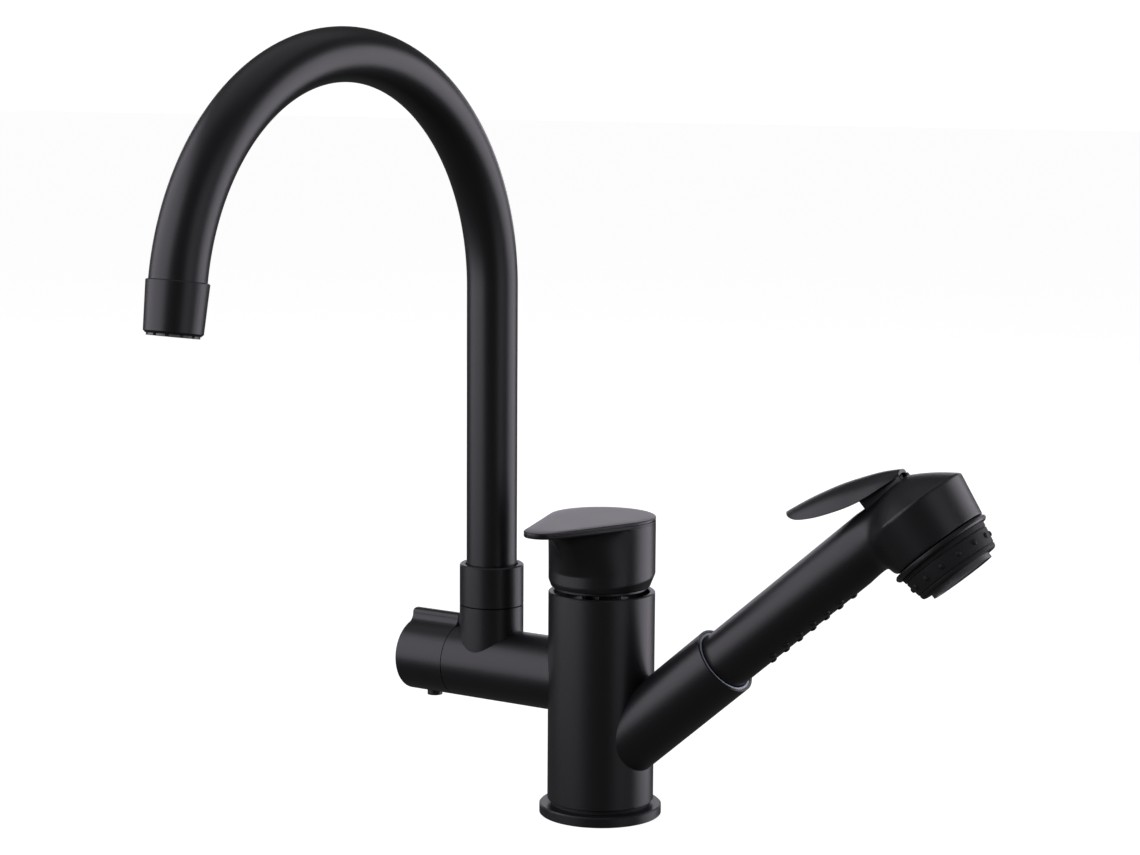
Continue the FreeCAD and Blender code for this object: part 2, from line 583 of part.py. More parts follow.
arm_outside = cylinder("arm_outside", "arm_radius", "arm_length", ARM_FRAME)
tee_outside = cylinder("tee_outside", "tee_radius", "tee_top - arm_height", TEE_FRAME, "arm_height")
arm_solid = combine("Part::MultiFuse", "arm_solid", arm_outside, tee_outside)
arm_tools = combine(
    "Part::MultiFuse", "arm_tools",
    cylinder("body_clear", "body_radius", "body_top", UPRIGHT),
    cylinder("arm_bore", "arm_waterway", "arm_length", ARM_FRAME),
    cylinder("diverter_chamber", "diverter_bore", "arm_length", ARM_FRAME, "diverter_bottom"),
    cylinder("tee_waterway", "pipe_radius - 4", "tee_top - arm_height", TEE_FRAME, "arm_height"),
    cylinder("spout_socket", "pipe_radius + running_gap", "tee_top", TEE_FRAME, "spout_seat"),
    cylinder("nut_socket", "nut_thread", "tee_top", TEE_FRAME, "clip_height - 4"))
keep(combine("Part::Cut", "side_arm", arm_solid, arm_tools), "side_arm")

turned("swivel_nut", [
    ("nut_bore", "tee_top - nut_thread_length"), ("nut_thread", "tee_top - nut_thread_length"),
    ("nut_thread", "tee_top + 0.3"), ("tee_radius - 0.3", "tee_top + 0.3"),
    ("tee_radius", "tee_top + 0.6"), ("tee_radius", "nut_top - 0.6"), ("tee_radius - 0.6", "nut_top"),
    ("nut_bore + 0.5", "nut_top"), ("nut_bore", "nut_top - 0.5")], TEE_FRAME)

turned("spout_bush", [
    ("pipe_radius + running_gap", "tee_top - 1"), ("nut_bore", "tee_top - 1"),
    ("nut_bore", "nut_top - 1.6"), ("pipe_radius + running_gap", "nut_top - 1.6")], TEE_FRAME)

# ---- gooseneck spout ----

CLIP_THICKNESS = 1.2
PIPE_START = "spout_seat + clearance"
SEAL_HEIGHTS = ("spout_seat + 2.8", "spout_seat + 6.2")


BEND_FRAME = "placement(vector(0; -bend_radius; bend_height); rotationy(90) * rotationz(90))"


def gooseneck(name, radius):
    """Straight rise and bend as one solid of this radius."""
    bend = doc.addObject("Part::Torus", name + "_bend")
    tie(bend, Radius1="bend_radius", Radius2=radius, Angle3="bend_sweep", Placement=BEND_FRAME)
    rise = cylinder(name + "_rise", radius, f"bend_height - ({PIPE_START})", UPRIGHT, PIPE_START)
    return combine("Part::MultiFuse", name, rise, bend)


def groove_ring(name, depth, low, height):
    """Ring that cuts a square groove into the pipe's tail."""
    outside = cylinder(name + "_outside", "pipe_radius + 1", height, UPRIGHT, low)
    inside = cylinder(name + "_inside", f"pipe_radius - {depth}", height, UPRIGHT, low)
    return combine("Part::Cut", name, outside, inside)


pipe_tools = [gooseneck("pipe_bore", "pipe_radius - pipe_wall")]
for i, height in enumerate(SEAL_HEIGHTS):
    pipe_tools.append(groove_ring(f"seal_groove_{i + 1}", "2 * ring_section",
                                  f"{height} - ring_section - 0.05", "2 * ring_section + 0.1"))
pipe_tools.append(groove_ring("clip_groove", "0.5", "clip_height", str(CLIP_THICKNESS)))
pipe_cutter = combine("Part::MultiFuse", "pipe_cutter", *pipe_tools)
keep(combine("Part::Cut", "spout_pipe", gooseneck("pipe_outside", "pipe_radius"), pipe_cutter),
     "spout_pipe", SPOUT_FRAME)

seals = []
for i, height in enumerate(SEAL_HEIGHTS):
    seal = doc.addObject("Part::Torus", f"seal_ring_{i + 1}")
    tie(seal, Radius1="pipe_radius - ring_section", Radius2="ring_section",
        Placement=f"placement(vector(0; 0; {height}); rotationz(0))")
    seals.append(seal)
keep(combine("Part::MultiFuse", "spout_seals", *seals), "spout_seals", SPOUT_FRAME)

turned("spout_clip", [
    ("pipe_radius - 0.5", "clip_height"), ("clip_radius", "clip_height"),
    ("clip_radius", f"clip_height + {CLIP_THICKNESS}"),
    ("pipe_radius - 0.5", f"clip_height + {CLIP_THICKNESS}")], SPOUT_FRAME)

# The outlet's frame looks along the water, from the end of the bend.
THREAD_DEPTH = 3.0
turned("aerator_housing", [
    ("pipe_radius", "0"), ("aerator_radius - 0.4", "0"), ("aerator_radius", "0.4"),
    ("aerator_radius - aerator_taper", "aerator_length - 1"),
    ("aerator_radius - aerator_taper - 1", "aerator_length"),
    ("insert_radius + 0.1", "aerator_length"), ("insert_radius + 0.1", f"{THREAD_DEPTH}"),
    ("pipe_radius - pipe_wall", f"{THREAD_DEPTH}"), ("pipe_radius - pipe_wall", "0")], OUTLET_FRAME)

turned("aerator_washer", [
    ("insert_radius - 3", f"{THREAD_DEPTH}"), ("insert_radius", f"{THREAD_DEPTH}"),
    ("insert_radius", f"{THREAD_DEPTH} + 2"), ("insert_radius - 3", f"{THREAD_DEPTH} + 2")], OUTLET_FRAME)

AERATOR_TABS = 12
INSERT_LOW = "aerator_length + insert_stand"


def draw_disc(radius):
    return lambda sketch: add_circle(sketch, radius)


def draw_tab_gap(sketch):
    add_outline(sketch, [("insert_radius - 1.6", "-0.9"), ("insert_radius + 1", "-0.9"),
                         ("insert_radius + 1", "0.9"), ("insert_radius - 1.6", "0.9")])


def draw_mesh_hole(sketch):
    add_circle(sketch, "0.8", "insert_radius * 0.55")


insert = new_body("insert")
pad(insert, "insert_blank", draw_disc("insert_radius"), f"{INSERT_LOW} - {THREAD_DEPTH} - 2",
    offset=f"{THREAD_DEPTH} + 2")
cut_body(insert, "insert_face", draw_disc("insert_radius - 2.4"), "1.2", offset=INSERT_LOW)
for name, draw, count, depth in (("tab_gap", draw_tab_gap, AERATOR_TABS, "1.6"),
                                 ("mesh_hole", draw_mesh_hole, 10, "6")):
    first = cut_body(insert, name, draw, depth, offset=INSERT_LOW)
    pattern = insert.newObject("PartDesign::PolarPattern", name + "s")
    pattern.Originals = [first]
    pattern.Axis = (plane(insert, "Z_Axis"), [""])
    pattern.Angle = 360
    pattern.Occurrences = count
    insert.Tip = pattern
    doc.recompute()
keep(insert, "aerator_insert", OUTLET_FRAME)

# ---- diverter and its knob ----

KNOB_START = "arm_length + knob_gap"
KNOB_END = "arm_length + knob_gap + knob_length"

turned("diverter_cartridge", [
    ("spindle_radius + running_gap", "diverter_bottom + 0.5"), ("diverter_bore - 0.1", "diverter_bottom + 0.5"),
    ("diverter_bore - 0.1", "diverter_bottom + 3"), ("diverter_bore - 4", "diverter_bottom + 3"),
    ("diverter_bore - 4", "arm_length - 6"), ("diverter_bore - 0.1", "arm_length - 6"),
    ("diverter_bore - 0.1", "arm_length"), ("spindle_radius + running_gap", "arm_length")], ARM_FRAME)

keep(cylinder("diverter_spindle", "spindle_radius", f"{KNOB_END} - 3 - diverter_bottom", ARM_FRAME,
              "diverter_bottom"), "diverter_spindle",
     ARM_FRAME + " * placement(vector(0; 0; diverter_bottom); rotationz(0))")


def draw_ridge(sketch):
    """Section of the grip ridge, standing on the knob; the frame's X is up."""
    add_outline(sketch, [("arm_radius - 3", "-ridge_width / 2"), ("arm_radius + ridge_height", "-ridge_width / 2"),
                         ("arm_radius + ridge_height", "ridge_width / 2"), ("arm_radius - 3", "ridge_width / 2")])


knob = new_body("knob")
pad(knob, "knob_barrel", draw_disc("arm_radius"), "knob_length", offset=KNOB_START)
pad(knob, "knob_ridge", draw_ridge, "knob_length", offset=KNOB_START)
RIDGE_TOP = value("arm_radius + ridge_height")
RIDGE_FOOT = math.sqrt(value("arm_radius") ** 2 - (value("ridge_width") / 2) ** 2)


def along_knob_at(edge, x):
    box = edge.BoundBox
    return box.ZLength > value("knob_length") - 3 and abs(box.XMin - x) < 1e-3 and abs(box.XMax - x) < 1e-3


round_edges(knob, "ridge_rounding", "ridge_width * 0.42", lambda e: along_knob_at(e, RIDGE_TOP))
round_edges(knob, "ridge_flank", "4.2", lambda e: along_knob_at(e, RIDGE_FOOT))
round_edges(knob, "knob_end_rounding", "2",
            lambda e: abs(e.BoundBox.ZMin - value(KNOB_END)) < 1e-3 and e.BoundBox.ZLength < 1e-3)
cut_body(knob, "knob_hollow", draw_disc("knob_cavity"), "knob_length - knob_roof", offset=KNOB_START,
         reverse=True)
pad(knob, "knob_boss", draw_disc("spindle_radius + 3"), "knob_length - 3", offset=f"{KNOB_START} + 1")
cut_body(knob, "spindle_hole", draw_disc("spindle_radius"), "knob_length - 3", offset=KNOB_START, reverse=True)
SCREW_FRAME = f"placement(vector(0; 0; {KNOB_START} + 16); rotationy(-90))"
SCREW_FOOT = "arm_radius - 3"
screw_hole = cylinder("screw_hole", "knob_screw_radius", "6", SCREW_FRAME, SCREW_FOOT)
keep(combine("Part::Cut", "diverter_knob", knob, screw_hole), "diverter_knob", ARM_FRAME)
keep(cylinder("knob_screw", "knob_screw_radius", "3 + knob_screw_stand"), "knob_screw",
     f"{ARM_FRAME} * {SCREW_FRAME} * placement(vector(0; 0; {SCREW_FOOT}); rotationz(0))")

# ---- holder for the hand spray ----

holder_outside = cylinder("holder_outside", "holder_radius", "holder_end", HOLDER_FRAME)
holder_tools = combine(
    "Part::MultiFuse", "holder_tools",
    cylinder("body_clear_too", "body_radius", "body_top", UPRIGHT),
    cylinder("hose_way", "hose_hole", "holder_end", HOLDER_FRAME),
    cylinder("handle_way", "holder_bore", "holder_end", HOLDER_FRAME, "holder_seat"))
keep(combine("Part::Cut", "holder_sleeve", holder_outside, holder_tools), "holder_sleeve")

LINER_TOP = "holder_end - liner_recess"
turned("holder_liner", [
    ("handle_radius + clearance", f"{LINER_TOP} - liner_length"), ("holder_bore", f"{LINER_TOP} - liner_length"),
    ("holder_bore", LINER_TOP), ("handle_radius + clearance + 0.3", LINER_TOP),
    ("handle_radius + clearance", f"{LINER_TOP} - 0.3")], HOLDER_FRAME)

# ---- hose end and waterway inside the handle ----

SPIGOT_RADIUS = "6"
HANDLE_BORE = "handle_radius - handle_wall"
turned("hose_connector", [
    ("4", "handle_bottom - 15"), ("7.4", "handle_bottom - 15"), ("7.4", "handle_bottom - 9"),
    ("9.2", "handle_bottom - 9"), ("9.2", "handle_bottom + 0.5"), (SPIGOT_RADIUS, "handle_bottom + 0.5"),
    (SPIGOT_RADIUS, "handle_bottom + 8.5"), ("4", "handle_bottom + 8.5")], HOLDER_FRAME)

TUBE_OUTER = "5.5"
TUBE_START = "handle_bottom + 9"
turned("handle_inlet", [
    (f"{SPIGOT_RADIUS} + running_gap", "handle_bottom + 1"), (HANDLE_BORE, "handle_bottom + 1"),
    (HANDLE_BORE, "handle_bottom + 13"), (TUBE_OUTER, "handle_bottom + 13"), (TUBE_OUTER, TUBE_START),
    (f"{SPIGOT_RADIUS} + running_gap", TUBE_START)], HANDSET_FRAME)

ELBOW_START = "head_axis - 19.6"
TUBE_END = f"{ELBOW_START} + 5"
turned("waterway_tube", [
    ("4.2", TUBE_START), (TUBE_OUTER, TUBE_START), (TUBE_OUTER, TUBE_END), ("4.2", TUBE_END)], HANDSET_FRAME)

# ---- shell of the hand spray ----
# In this frame Z runs up the handle and X points to its underside, the way the water leaves.

LOCAL_HEAD = "placement(vector(0; 0; head_axis); rotationy(90))"


def loft(body, name, low, low_shift, low_height, high, high_shift, high_height):
    """Loft between two circles, each with its own shift along the frame's X."""
    sections = []
    for end, radius, shift, height in (("low", low, low_shift, low_height),
                                       ("high", high, high_shift, high_height)):
        sketch = new_sketch(body, f"{name}_{end}", "XY_Plane", height)
        add_circle(sketch, radius, shift)
        sections.append(sketch)
    doc.recompute()
    feature = body.newObject("PartDesign::AdditiveLoft", name)
    feature.Profile = sections[0]
    feature.Sections = [sections[1]]
    doc.recompute()
    return feature


head = new_body("head")
loft(head, "head_skirt", "head_radius", "0", "head_drop", "shoulder_radius", "-shoulder_shift", "0")
loft(head, "head_crown", "shoulder_radius", "-shoulder_shift", "0", "crown_radius", "0", "-crown_height")
round_edges(head, "shoulder_rounding", "0.8",
            lambda e: abs(e.BoundBox.ZMin) < 1e-3 and abs(e.BoundBox.ZMax) < 1e-3)
round_edges(head, "crown_rounding", "5",
            lambda e: abs(e.BoundBox.ZMin + value("crown_height")) < 1e-3 and e.BoundBox.ZLength < 1e-3)
tie(head, Placement=LOCAL_HEAD)

handle_bar = cylinder("handle_bar", "handle_radius", "head_axis - 8 - handle_bottom", UPRIGHT, "handle_bottom")
BRACKET_SLOPE = 2.6


def draw_bracket(sketch):
    """Side of the trigger's bracket; the sketch's X is the frame's X, so up is negative."""
    add_outline(sketch, [("-8", "bracket_start"), ("1 - bracket_top", "bracket_start"),
                         ("-bracket_top", "bracket_start + 1"), (f"{BRACKET_SLOPE} - bracket_top", "bracket_end"),
                         ("-8", "bracket_end")])


bracket = new_body("bracket")
pad(bracket, "bracket_pad", draw_bracket, "bracket_width", role="XZ_Plane", middle=True)

NUB_ROWS = (-26, 0, 26)
nubs = []
for row_angle in NUB_ROWS:
    for i in range(int(value("nub_count"))):
        nub = doc.addObject("Part::Sphere", f"nub_{row_angle + 26}_{i + 1}")
        tie(nub, Radius="nub_radius",
            Placement=(f"placement(vector(0; 0; nub_start + {i} * nub_pitch); rotationz({row_angle}))"
                       " * placement(vector(handle_radius + nub_stand - nub_radius; 0; 0); rotationz(0))"))
        nubs.append(nub)
shell_outside = combine("Part::MultiFuse", "shell_outside", handle_bar, head, bracket, *nubs)

PIVOT_FRAME = "placement(vector(-trigger_height; 0; trigger_pivot); rotationx(90))"
VALVE_FRAME = "placement(vector(0; 0; valve_place); rotationy(-90))"
CAVITY_RADIUS = "head_radius - head_wall - 1"
slot = doc.addObject("Part::Box", "trigger_slot")
tie(slot, Length="bracket_top - trigger_height + 7", Width="slot_width",
    Height="bracket_end - bracket_start + 4",
    Placement="placement(vector(-bracket_top - 4; -slot_width / 2; bracket_start - 2); rotationz(0))")
shell_tools = combine(
    "Part::MultiFuse", "shell_tools",
    cylinder("handle_bore", HANDLE_BORE, "head_axis - 8 - handle_bottom", UPRIGHT, "handle_bottom - 1"),
    cylinder("head_cavity", CAVITY_RADIUS, "head_drop + 1", LOCAL_HEAD, "0"),
    cylinder("crown_cavity", "crown_radius + 3.5", "8", LOCAL_HEAD, "-7"),
    slot,
    cylinder("pin_bore", "trigger_pin_radius", "bracket_width + 4", PIVOT_FRAME, "-bracket_width / 2 - 2"),
    cylinder("valve_bore", "valve_pin_radius + running_gap", "10", VALVE_FRAME, "6"))
keep(combine("Part::Cut", "handset_shell", shell_outside, shell_tools), "handset_shell", HANDSET_FRAME)

# ---- spray head: valve body, ring, bumper and face ----

RING_START = "head_drop + 0.3"
BUMPER_START = f"{RING_START} + lip_height"
BUMPER_END = f"{BUMPER_START} + bumper_height"
SLEEVE_OUTER = "bumper_low_radius - 1"
DISC_START = "head_drop - 11"
DISC_END = "head_drop - 4"

valve_disc = cylinder("valve_disc", f"{CAVITY_RADIUS} - 0.4", f"{DISC_END} - ({DISC_START})", LOCAL_HEAD, DISC_START)
elbow = doc.addObject("Part::Box", "elbow")
tie(elbow, Length="16", Width="12", Height="8", Placement=f"placement(vector(-6.5; -6; {ELBOW_START}); rotationz(0))")
spring_post = cylinder("spring_post", "3.4", "8", VALVE_FRAME, "-9.3")
valve_solid = combine("Part::MultiFuse", "valve_solid", valve_disc, elbow, spring_post)
valve_tools = combine(
    "Part::MultiFuse", "valve_tools",
    cylinder("tube_socket", TUBE_OUTER, "6", UPRIGHT, f"{ELBOW_START} - 1"),
    cylinder("elbow_way", "3", "30", f"placement(vector(0; 0; {ELBOW_START} + 3.4); rotationy(90))"))
keep(combine("Part::Cut", "valve_body", valve_solid, valve_tools), "valve_body", HANDSET_FRAME)

turned("head_ring", [
    (f"{SLEEVE_OUTER} - 2", f"{DISC_END} + 0.3"), (SLEEVE_OUTER, f"{DISC_END} + 0.3"), (SLEEVE_OUTER, RING_START),
    ("lip_radius - 0.8", RING_START), ("lip_radius", f"{RING_START} + 0.8"),
    ("lip_radius", f"{BUMPER_START} - 0.8"), ("lip_radius - 0.8", BUMPER_START),
    (SLEEVE_OUTER, BUMPER_START), (SLEEVE_OUTER, f"{BUMPER_END} - 0.4"),
    (f"{SLEEVE_OUTER} - 2", f"{BUMPER_END} - 0.4")], HEAD_FRAME)

bumper = new_body("bumper")
bumper_section = new_sketch(bumper, "bumper_section", "XZ_Plane")
add_outline(bumper_section, [
    (SLEEVE_OUTER, BUMPER_START), ("bumper_top_radius", BUMPER_START),
    ("bumper_low_radius", f"{BUMPER_END} - 0.5"), ("bumper_low_radius - 0.4", BUMPER_END),
    (SLEEVE_OUTER, BUMPER_END)])
bumper_turn = bumper.newObject("PartDesign::Revolution", "bumper_turn")
bumper_turn.Profile = bumper_section
bumper_turn.ReferenceAxis = (bumper_section, ["V_Axis"])
bumper_turn.Angle = 360
doc.recompute()
bumper_nub = bumper.newObject("PartDesign::AdditiveSphere", "bumper_nub")
bumper_nub.AttachmentSupport = [(plane(bumper, "XY_Plane"), "")]
bumper_nub.MapMode = "FlatFace"
tie(bumper_nub, Radius="1.2", AttachmentOffset__Base__x="(bumper_top_radius + bumper_low_radius) / 2 - 0.35",
    AttachmentOffset__Base__z=f"{BUMPER_START} + bumper_height * 0.46")
doc.recompute()
nub_ring = bumper.newObject("PartDesign::PolarPattern", "nub_ring")
nub_ring.Originals = [bumper_nub]
nub_ring.Axis = (plane(bumper, "Z_Axis"), [""])
nub_ring.Angle = 360
nub_ring.Occurrences = int(value("bumper_nubs"))
bumper.Tip = nub_ring
doc.recompute()
keep(bumper, "spray_bumper", HEAD_FRAME)

FACE_LOW = f"{BUMPER_END} + face_stand"


def draw_jet(distance):
    return lambda sketch: add_circle(sketch, "0.6", distance)


face = new_body("face")
pad(face, "face_flange", draw_disc(f"{SLEEVE_OUTER} - 2.1"), "5", offset=f"{BUMPER_END} - 5")
pad(face, "face_nose", draw_disc("face_radius"), "face_stand", offset=BUMPER_END)
cut_body(face, "face_dish", draw_disc("face_radius - 1.3"), "0.5", offset=FACE_LOW)
for row_name, distance, count in (("outer_jet", "face_radius - 3", int(value("jet_count")) * 2),
                                  ("middle_jet", "face_radius - 6.2", int(value("jet_count")) + 4),
                                  ("inner_jet", "face_radius - 9.4", int(value("jet_count")) - 2)):
    first = cut_body(face, row_name, draw_jet(distance), "face_stand + 6", offset=FACE_LOW)
    pattern = face.newObject("PartDesign::PolarPattern", row_name + "s")
    pattern.Originals = [first]
    pattern.Axis = (plane(face, "Z_Axis"), [""])
    pattern.Angle = 360
    pattern.Occurrences = count
    face.Tip = pattern
    doc.recompute()
keep(face, "spray_face", HEAD_FRAME)

# ---- trigger, its pin, and the valve pin with its spring ----
# The leaf is part of a bent tube: its crest is an arc through the leaf's tip and heel.

LEAF_CREST = 146
HEEL_PLACE = "bracket_end"
HEEL_HEIGHT = "bracket_top + 1.4"
TIP_PLACE = f"({HEEL_PLACE} - leaf_length)"
CHORD = f"sqrt(({HEEL_PLACE} - {TIP_PLACE}) ^ 2 + (leaf_tip_height - ({HEEL_HEIGHT})) ^ 2)"
DROP = f"sqrt({LEAF_CREST} ^ 2 - ({CHORD}) ^ 2 / 4)"
FALL = f"(leaf_tip_height - ({HEEL_HEIGHT}))"
CREST_PLACE = f"({HEEL_PLACE} + {TIP_PLACE}) / 2 - {DROP} * {FALL} / {CHORD}"
CREST_DEPTH = f"{DROP} * leaf_length / {CHORD} - (leaf_tip_height + {HEEL_HEIGHT}) / 2"
LEAF_FRAME = f"placement(vector({CREST_DEPTH}; 0; {CREST_PLACE}); rotationx(90))"

tubes = []
for name, radius in (("leaf_outside", "leaf_arch"), ("leaf_inside", "leaf_arch - leaf_thickness")):
    tube = doc.addObject("Part::Torus", name)
    tie(tube, Radius1=f"{LEAF_CREST} - leaf_arch", Radius2=radius, Placement=LEAF_FRAME)
    tubes.append(tube)
leaf_tube = combine("Part::Cut", "leaf_tube", *tubes)

LENS_RADIUS = "(leaf_length ^ 2 / 4 + leaf_half_width ^ 2) / (2 * leaf_half_width)"
LENS_MIDDLE = f"{TIP_PLACE} + leaf_length / 2"
lens = []
for side in (1, -1):
    lens.append(cylinder(
        f"leaf_edge_{side + 2}", LENS_RADIUS, "60",
        f"placement(vector(0; {side} * (leaf_half_width - {LENS_RADIUS}); {LENS_MIDDLE}); rotationy(-90))", "12"))
leaf_blade = combine("Part::MultiCommon", "leaf_blade", leaf_tube, *lens)


def draw_rib(sketch):
    add_outline(sketch, [
        ("-bracket_top - 1", "valve_place - 7"), ("-trigger_height - 3", "trigger_pivot - 5"),
        ("-trigger_height + 1.6", "trigger_pivot - 1.8"), ("-trigger_height + 1.6", "trigger_pivot + 1.8"),
        ("-trigger_height - 2", "trigger_pivot + 2.4"), ("-bracket_top - 0.6", "trigger_pivot + 2.4"),
        ("-bracket_top - 5.2", "trigger_pivot - 6"), ("-bracket_top - 9.4", "valve_place - 7")])


rib = new_body("rib")
pad(rib, "rib_pad", draw_rib, "rib_thickness", role="XZ_Plane", middle=True)
trigger_solid = combine("Part::MultiFuse", "trigger_solid", leaf_blade, rib)
trigger_bore = cylinder("trigger_bore", "trigger_pin_radius + running_gap", "slot_width + 4", PIVOT_FRAME,
                        "-slot_width / 2 - 2")
keep(combine("Part::Cut", "trigger_lever", trigger_solid, trigger_bore), "trigger_lever", HANDSET_FRAME)
keep(cylinder("trigger_pin", "trigger_pin_radius", "bracket_width - 0.4"), "trigger_pin",
     f"{HANDSET_FRAME} * {PIVOT_FRAME} * placement(vector(0; 0; 0.2 - bracket_width / 2); rotationz(0))")

COLLAR_TOP = 3.4
COLLAR_BOTTOM = 2.2
PIN_TOP = "trigger_height + 3 - clearance"
turned("valve_pin", [
    ("0", str(COLLAR_BOTTOM)), ("3.2", str(COLLAR_BOTTOM)), ("3.2", str(COLLAR_TOP)),
    ("valve_pin_radius", str(COLLAR_TOP)), ("valve_pin_radius", f"{PIN_TOP} - 0.8"),
    ("valve_pin_radius - 1", PIN_TOP), ("0", PIN_TOP)],
    f"{HANDSET_FRAME} * {VALVE_FRAME}")

SPRING_COILS = 3
coil = doc.addObject("Part::Helix", "spring_line")
coil.Pitch = 0.95
coil.Height = 0.95 * SPRING_COILS
coil.Radius = 2.5
wire_section = doc.addObject("Part::Circle", "spring_wire")
wire_section.Radius = 0.28
wire_section.Placement = Placement(Vector(2.5, 0, 0), Rotation(Vector(1, 0, 0), 90))
spring = doc.addObject("Part::Sweep", "spring")
spring.Sections = [wire_section]
spring.Spine = (coil, ["Edge1"])
spring.Solid = True
spring.Frenet = True
doc.recompute()
keep(spring, "valve_spring",
     f"{HANDSET_FRAME} * {VALVE_FRAME} * placement(vector(0; 0; {COLLAR_BOTTOM} - 3.2); rotationz(0))")

# ---- check and write ----

doc.recompute()
for item in doc.Objects:
    if "Invalid" in item.State or "Error" in item.State:
        raise RuntimeError(f"{item.Name} failed: {item.State}")
os.makedirs("parts", exist_ok=True)
for item in sub_parts:
    shape = item.Shape
    if shape.isNull() or not shape.isValid() or not shape.Solids:
        raise RuntimeError(f"{item.Label} has no sound solid")
    shape.exportStep(f"parts/{item.Label}.step")
print(f"{len(sub_parts)} sub-parts written")
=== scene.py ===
import json
import math
import bpy
import bmesh
from mathutils import Matrix, Vector
from mathutils.kdtree import KDTree


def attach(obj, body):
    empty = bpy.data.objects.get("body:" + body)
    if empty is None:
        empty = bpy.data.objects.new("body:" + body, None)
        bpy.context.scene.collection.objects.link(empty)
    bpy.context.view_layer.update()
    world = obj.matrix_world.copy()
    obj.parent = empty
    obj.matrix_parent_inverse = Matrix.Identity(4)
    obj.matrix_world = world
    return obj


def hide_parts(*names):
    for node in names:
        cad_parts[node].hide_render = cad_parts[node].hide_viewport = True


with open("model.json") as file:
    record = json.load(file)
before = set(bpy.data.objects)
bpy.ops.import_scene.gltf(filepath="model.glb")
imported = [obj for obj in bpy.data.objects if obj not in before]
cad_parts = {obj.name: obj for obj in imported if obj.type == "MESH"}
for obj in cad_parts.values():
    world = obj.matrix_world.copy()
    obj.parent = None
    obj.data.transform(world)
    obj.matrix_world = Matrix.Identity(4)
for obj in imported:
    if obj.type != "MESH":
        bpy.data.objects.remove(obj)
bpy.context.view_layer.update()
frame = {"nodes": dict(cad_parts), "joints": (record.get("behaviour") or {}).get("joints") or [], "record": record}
joints = {joint["name"]: joint for joint in frame["joints"]}
mm = 0.001
print("frame loaded:", len(frame["nodes"]), "nodes")


# shader building

class Link:
    # one output socket; arithmetic on it adds Math nodes
    def __init__(self, paint, socket):
        self.paint, self.socket = paint, socket

    def maths(self, operation, *others):
        return self.paint.node("ShaderNodeMath", {"operation": operation}, *others)

    def __add__(self, other):
        return self.maths("ADD", self, other)

    def __radd__(self, other):
        return self.maths("ADD", other, self)

    def __sub__(self, other):
        return self.maths("SUBTRACT", self, other)

    def __rsub__(self, other):
        return self.maths("SUBTRACT", other, self)

    def __mul__(self, other):
        return self.maths("MULTIPLY", self, other)

    def __rmul__(self, other):
        return self.maths("MULTIPLY", other, self)


class Wiring:
    # a node tree that takes plain values and links alike
    def __init__(self, tree):
        self.tree = tree
        tree.nodes.clear()

    def feed(self, socket, value):
        if isinstance(value, Link):
            self.tree.links.new(value.socket, socket)
        elif value is not None:
            socket.default_value = value

    def node(self, kind, settings, *ordered, output=0, **named):
        made = self.tree.nodes.new(kind)
        for key, value in settings.items():
            setattr(made, key, value)
        for place, value in enumerate(ordered):
            self.feed(made.inputs[place], value)
        for key, value in named.items():
            self.feed(made.inputs[key.replace("_", " ")], value)
        return Link(self, made.outputs[output])

    def where(self):
        return self.node("ShaderNodeTexCoord", {}, output="Object")

    def mix(self, amount, first, second):
        made = self.tree.nodes.new("ShaderNodeMix")
        made.data_type = "RGBA"
        self.feed(made.inputs[0], amount)
        self.feed(made.inputs[6], first)
        self.feed(made.inputs[7], second)
        return Link(self, made.outputs[2])


class Paint(Wiring):
    # a material, with one principled surface
    def __init__(self, name):
        self.material = bpy.data.materials.new(name)
        self.material.use_nodes = True
        super().__init__(self.material.node_tree)
        self.surface = self.tree.nodes.new("ShaderNodeBsdfPrincipled")
        output = self.tree.nodes.new("ShaderNodeOutputMaterial")
        self.tree.links.new(self.surface.outputs["BSDF"], output.inputs["Surface"])

    def noise(self, scale, detail=2.0, place=None):
        return self.node("ShaderNodeTexNoise", {}, Vector=place or self.where(), Scale=scale,
                         Detail=detail, Roughness=0.5)

    def stretch(self, x, y, z):
        return self.node("ShaderNodeVectorMath", {"operation": "MULTIPLY"}, self.where(), (x, y, z))

    def bump(self, height, distance):
        return self.node("ShaderNodeBump", {}, Height=height, Distance=distance, Strength=1.0)

    def finish(self, **sockets):
        for key, value in sockets.items():
            self.feed(self.surface.inputs[key.replace("_", " ")], value)
        return self.material


def colour(red, green, blue, level=1.0):
    return (red * level, green * level, blue * level, 1.0)


def blackCoating(name, tone, sheen, grainHeight):
    # baked black coating on metal: satin, with a very fine grain and faint uneven gloss
    paint = Paint(name)
    cloud = paint.noise(38.0, 3.0)
    grain = paint.noise(2600.0, 2.0)
    return paint.finish(
        Base_Color=paint.mix(cloud * 0.7 + grain * 0.3, colour(*tone, 0.86), colour(*tone, 1.16)),
        Roughness=sheen - 0.04 + cloud * 0.05 + grain * 0.04,
        Specular_IOR_Level=0.5, Metallic=0.0,
        Normal=paint.bump(grain, grainHeight))


def blackRubber(name, tone):
    paint = Paint(name)
    grain = paint.noise(1500.0, 3.0)
    cloud = paint.noise(60.0, 2.0)
    return paint.finish(
        Base_Color=paint.mix(cloud, colour(*tone, 0.8), colour(*tone, 1.2)),
        Roughness=0.56 + grain * 0.12, Specular_IOR_Level=0.4, Normal=paint.bump(grain, 0.00006))


def mouldedPlastic(name, tone, gloss):
    paint = Paint(name)
    grain = paint.noise(1200.0, 2.0)
    cloud = paint.noise(45.0, 2.0)
    return paint.finish(
        Base_Color=paint.mix(cloud, colour(*tone, 0.93), colour(*tone, 1.05)),
        Roughness=gloss + grain * 0.08, Normal=paint.bump(grain, 0.00002))


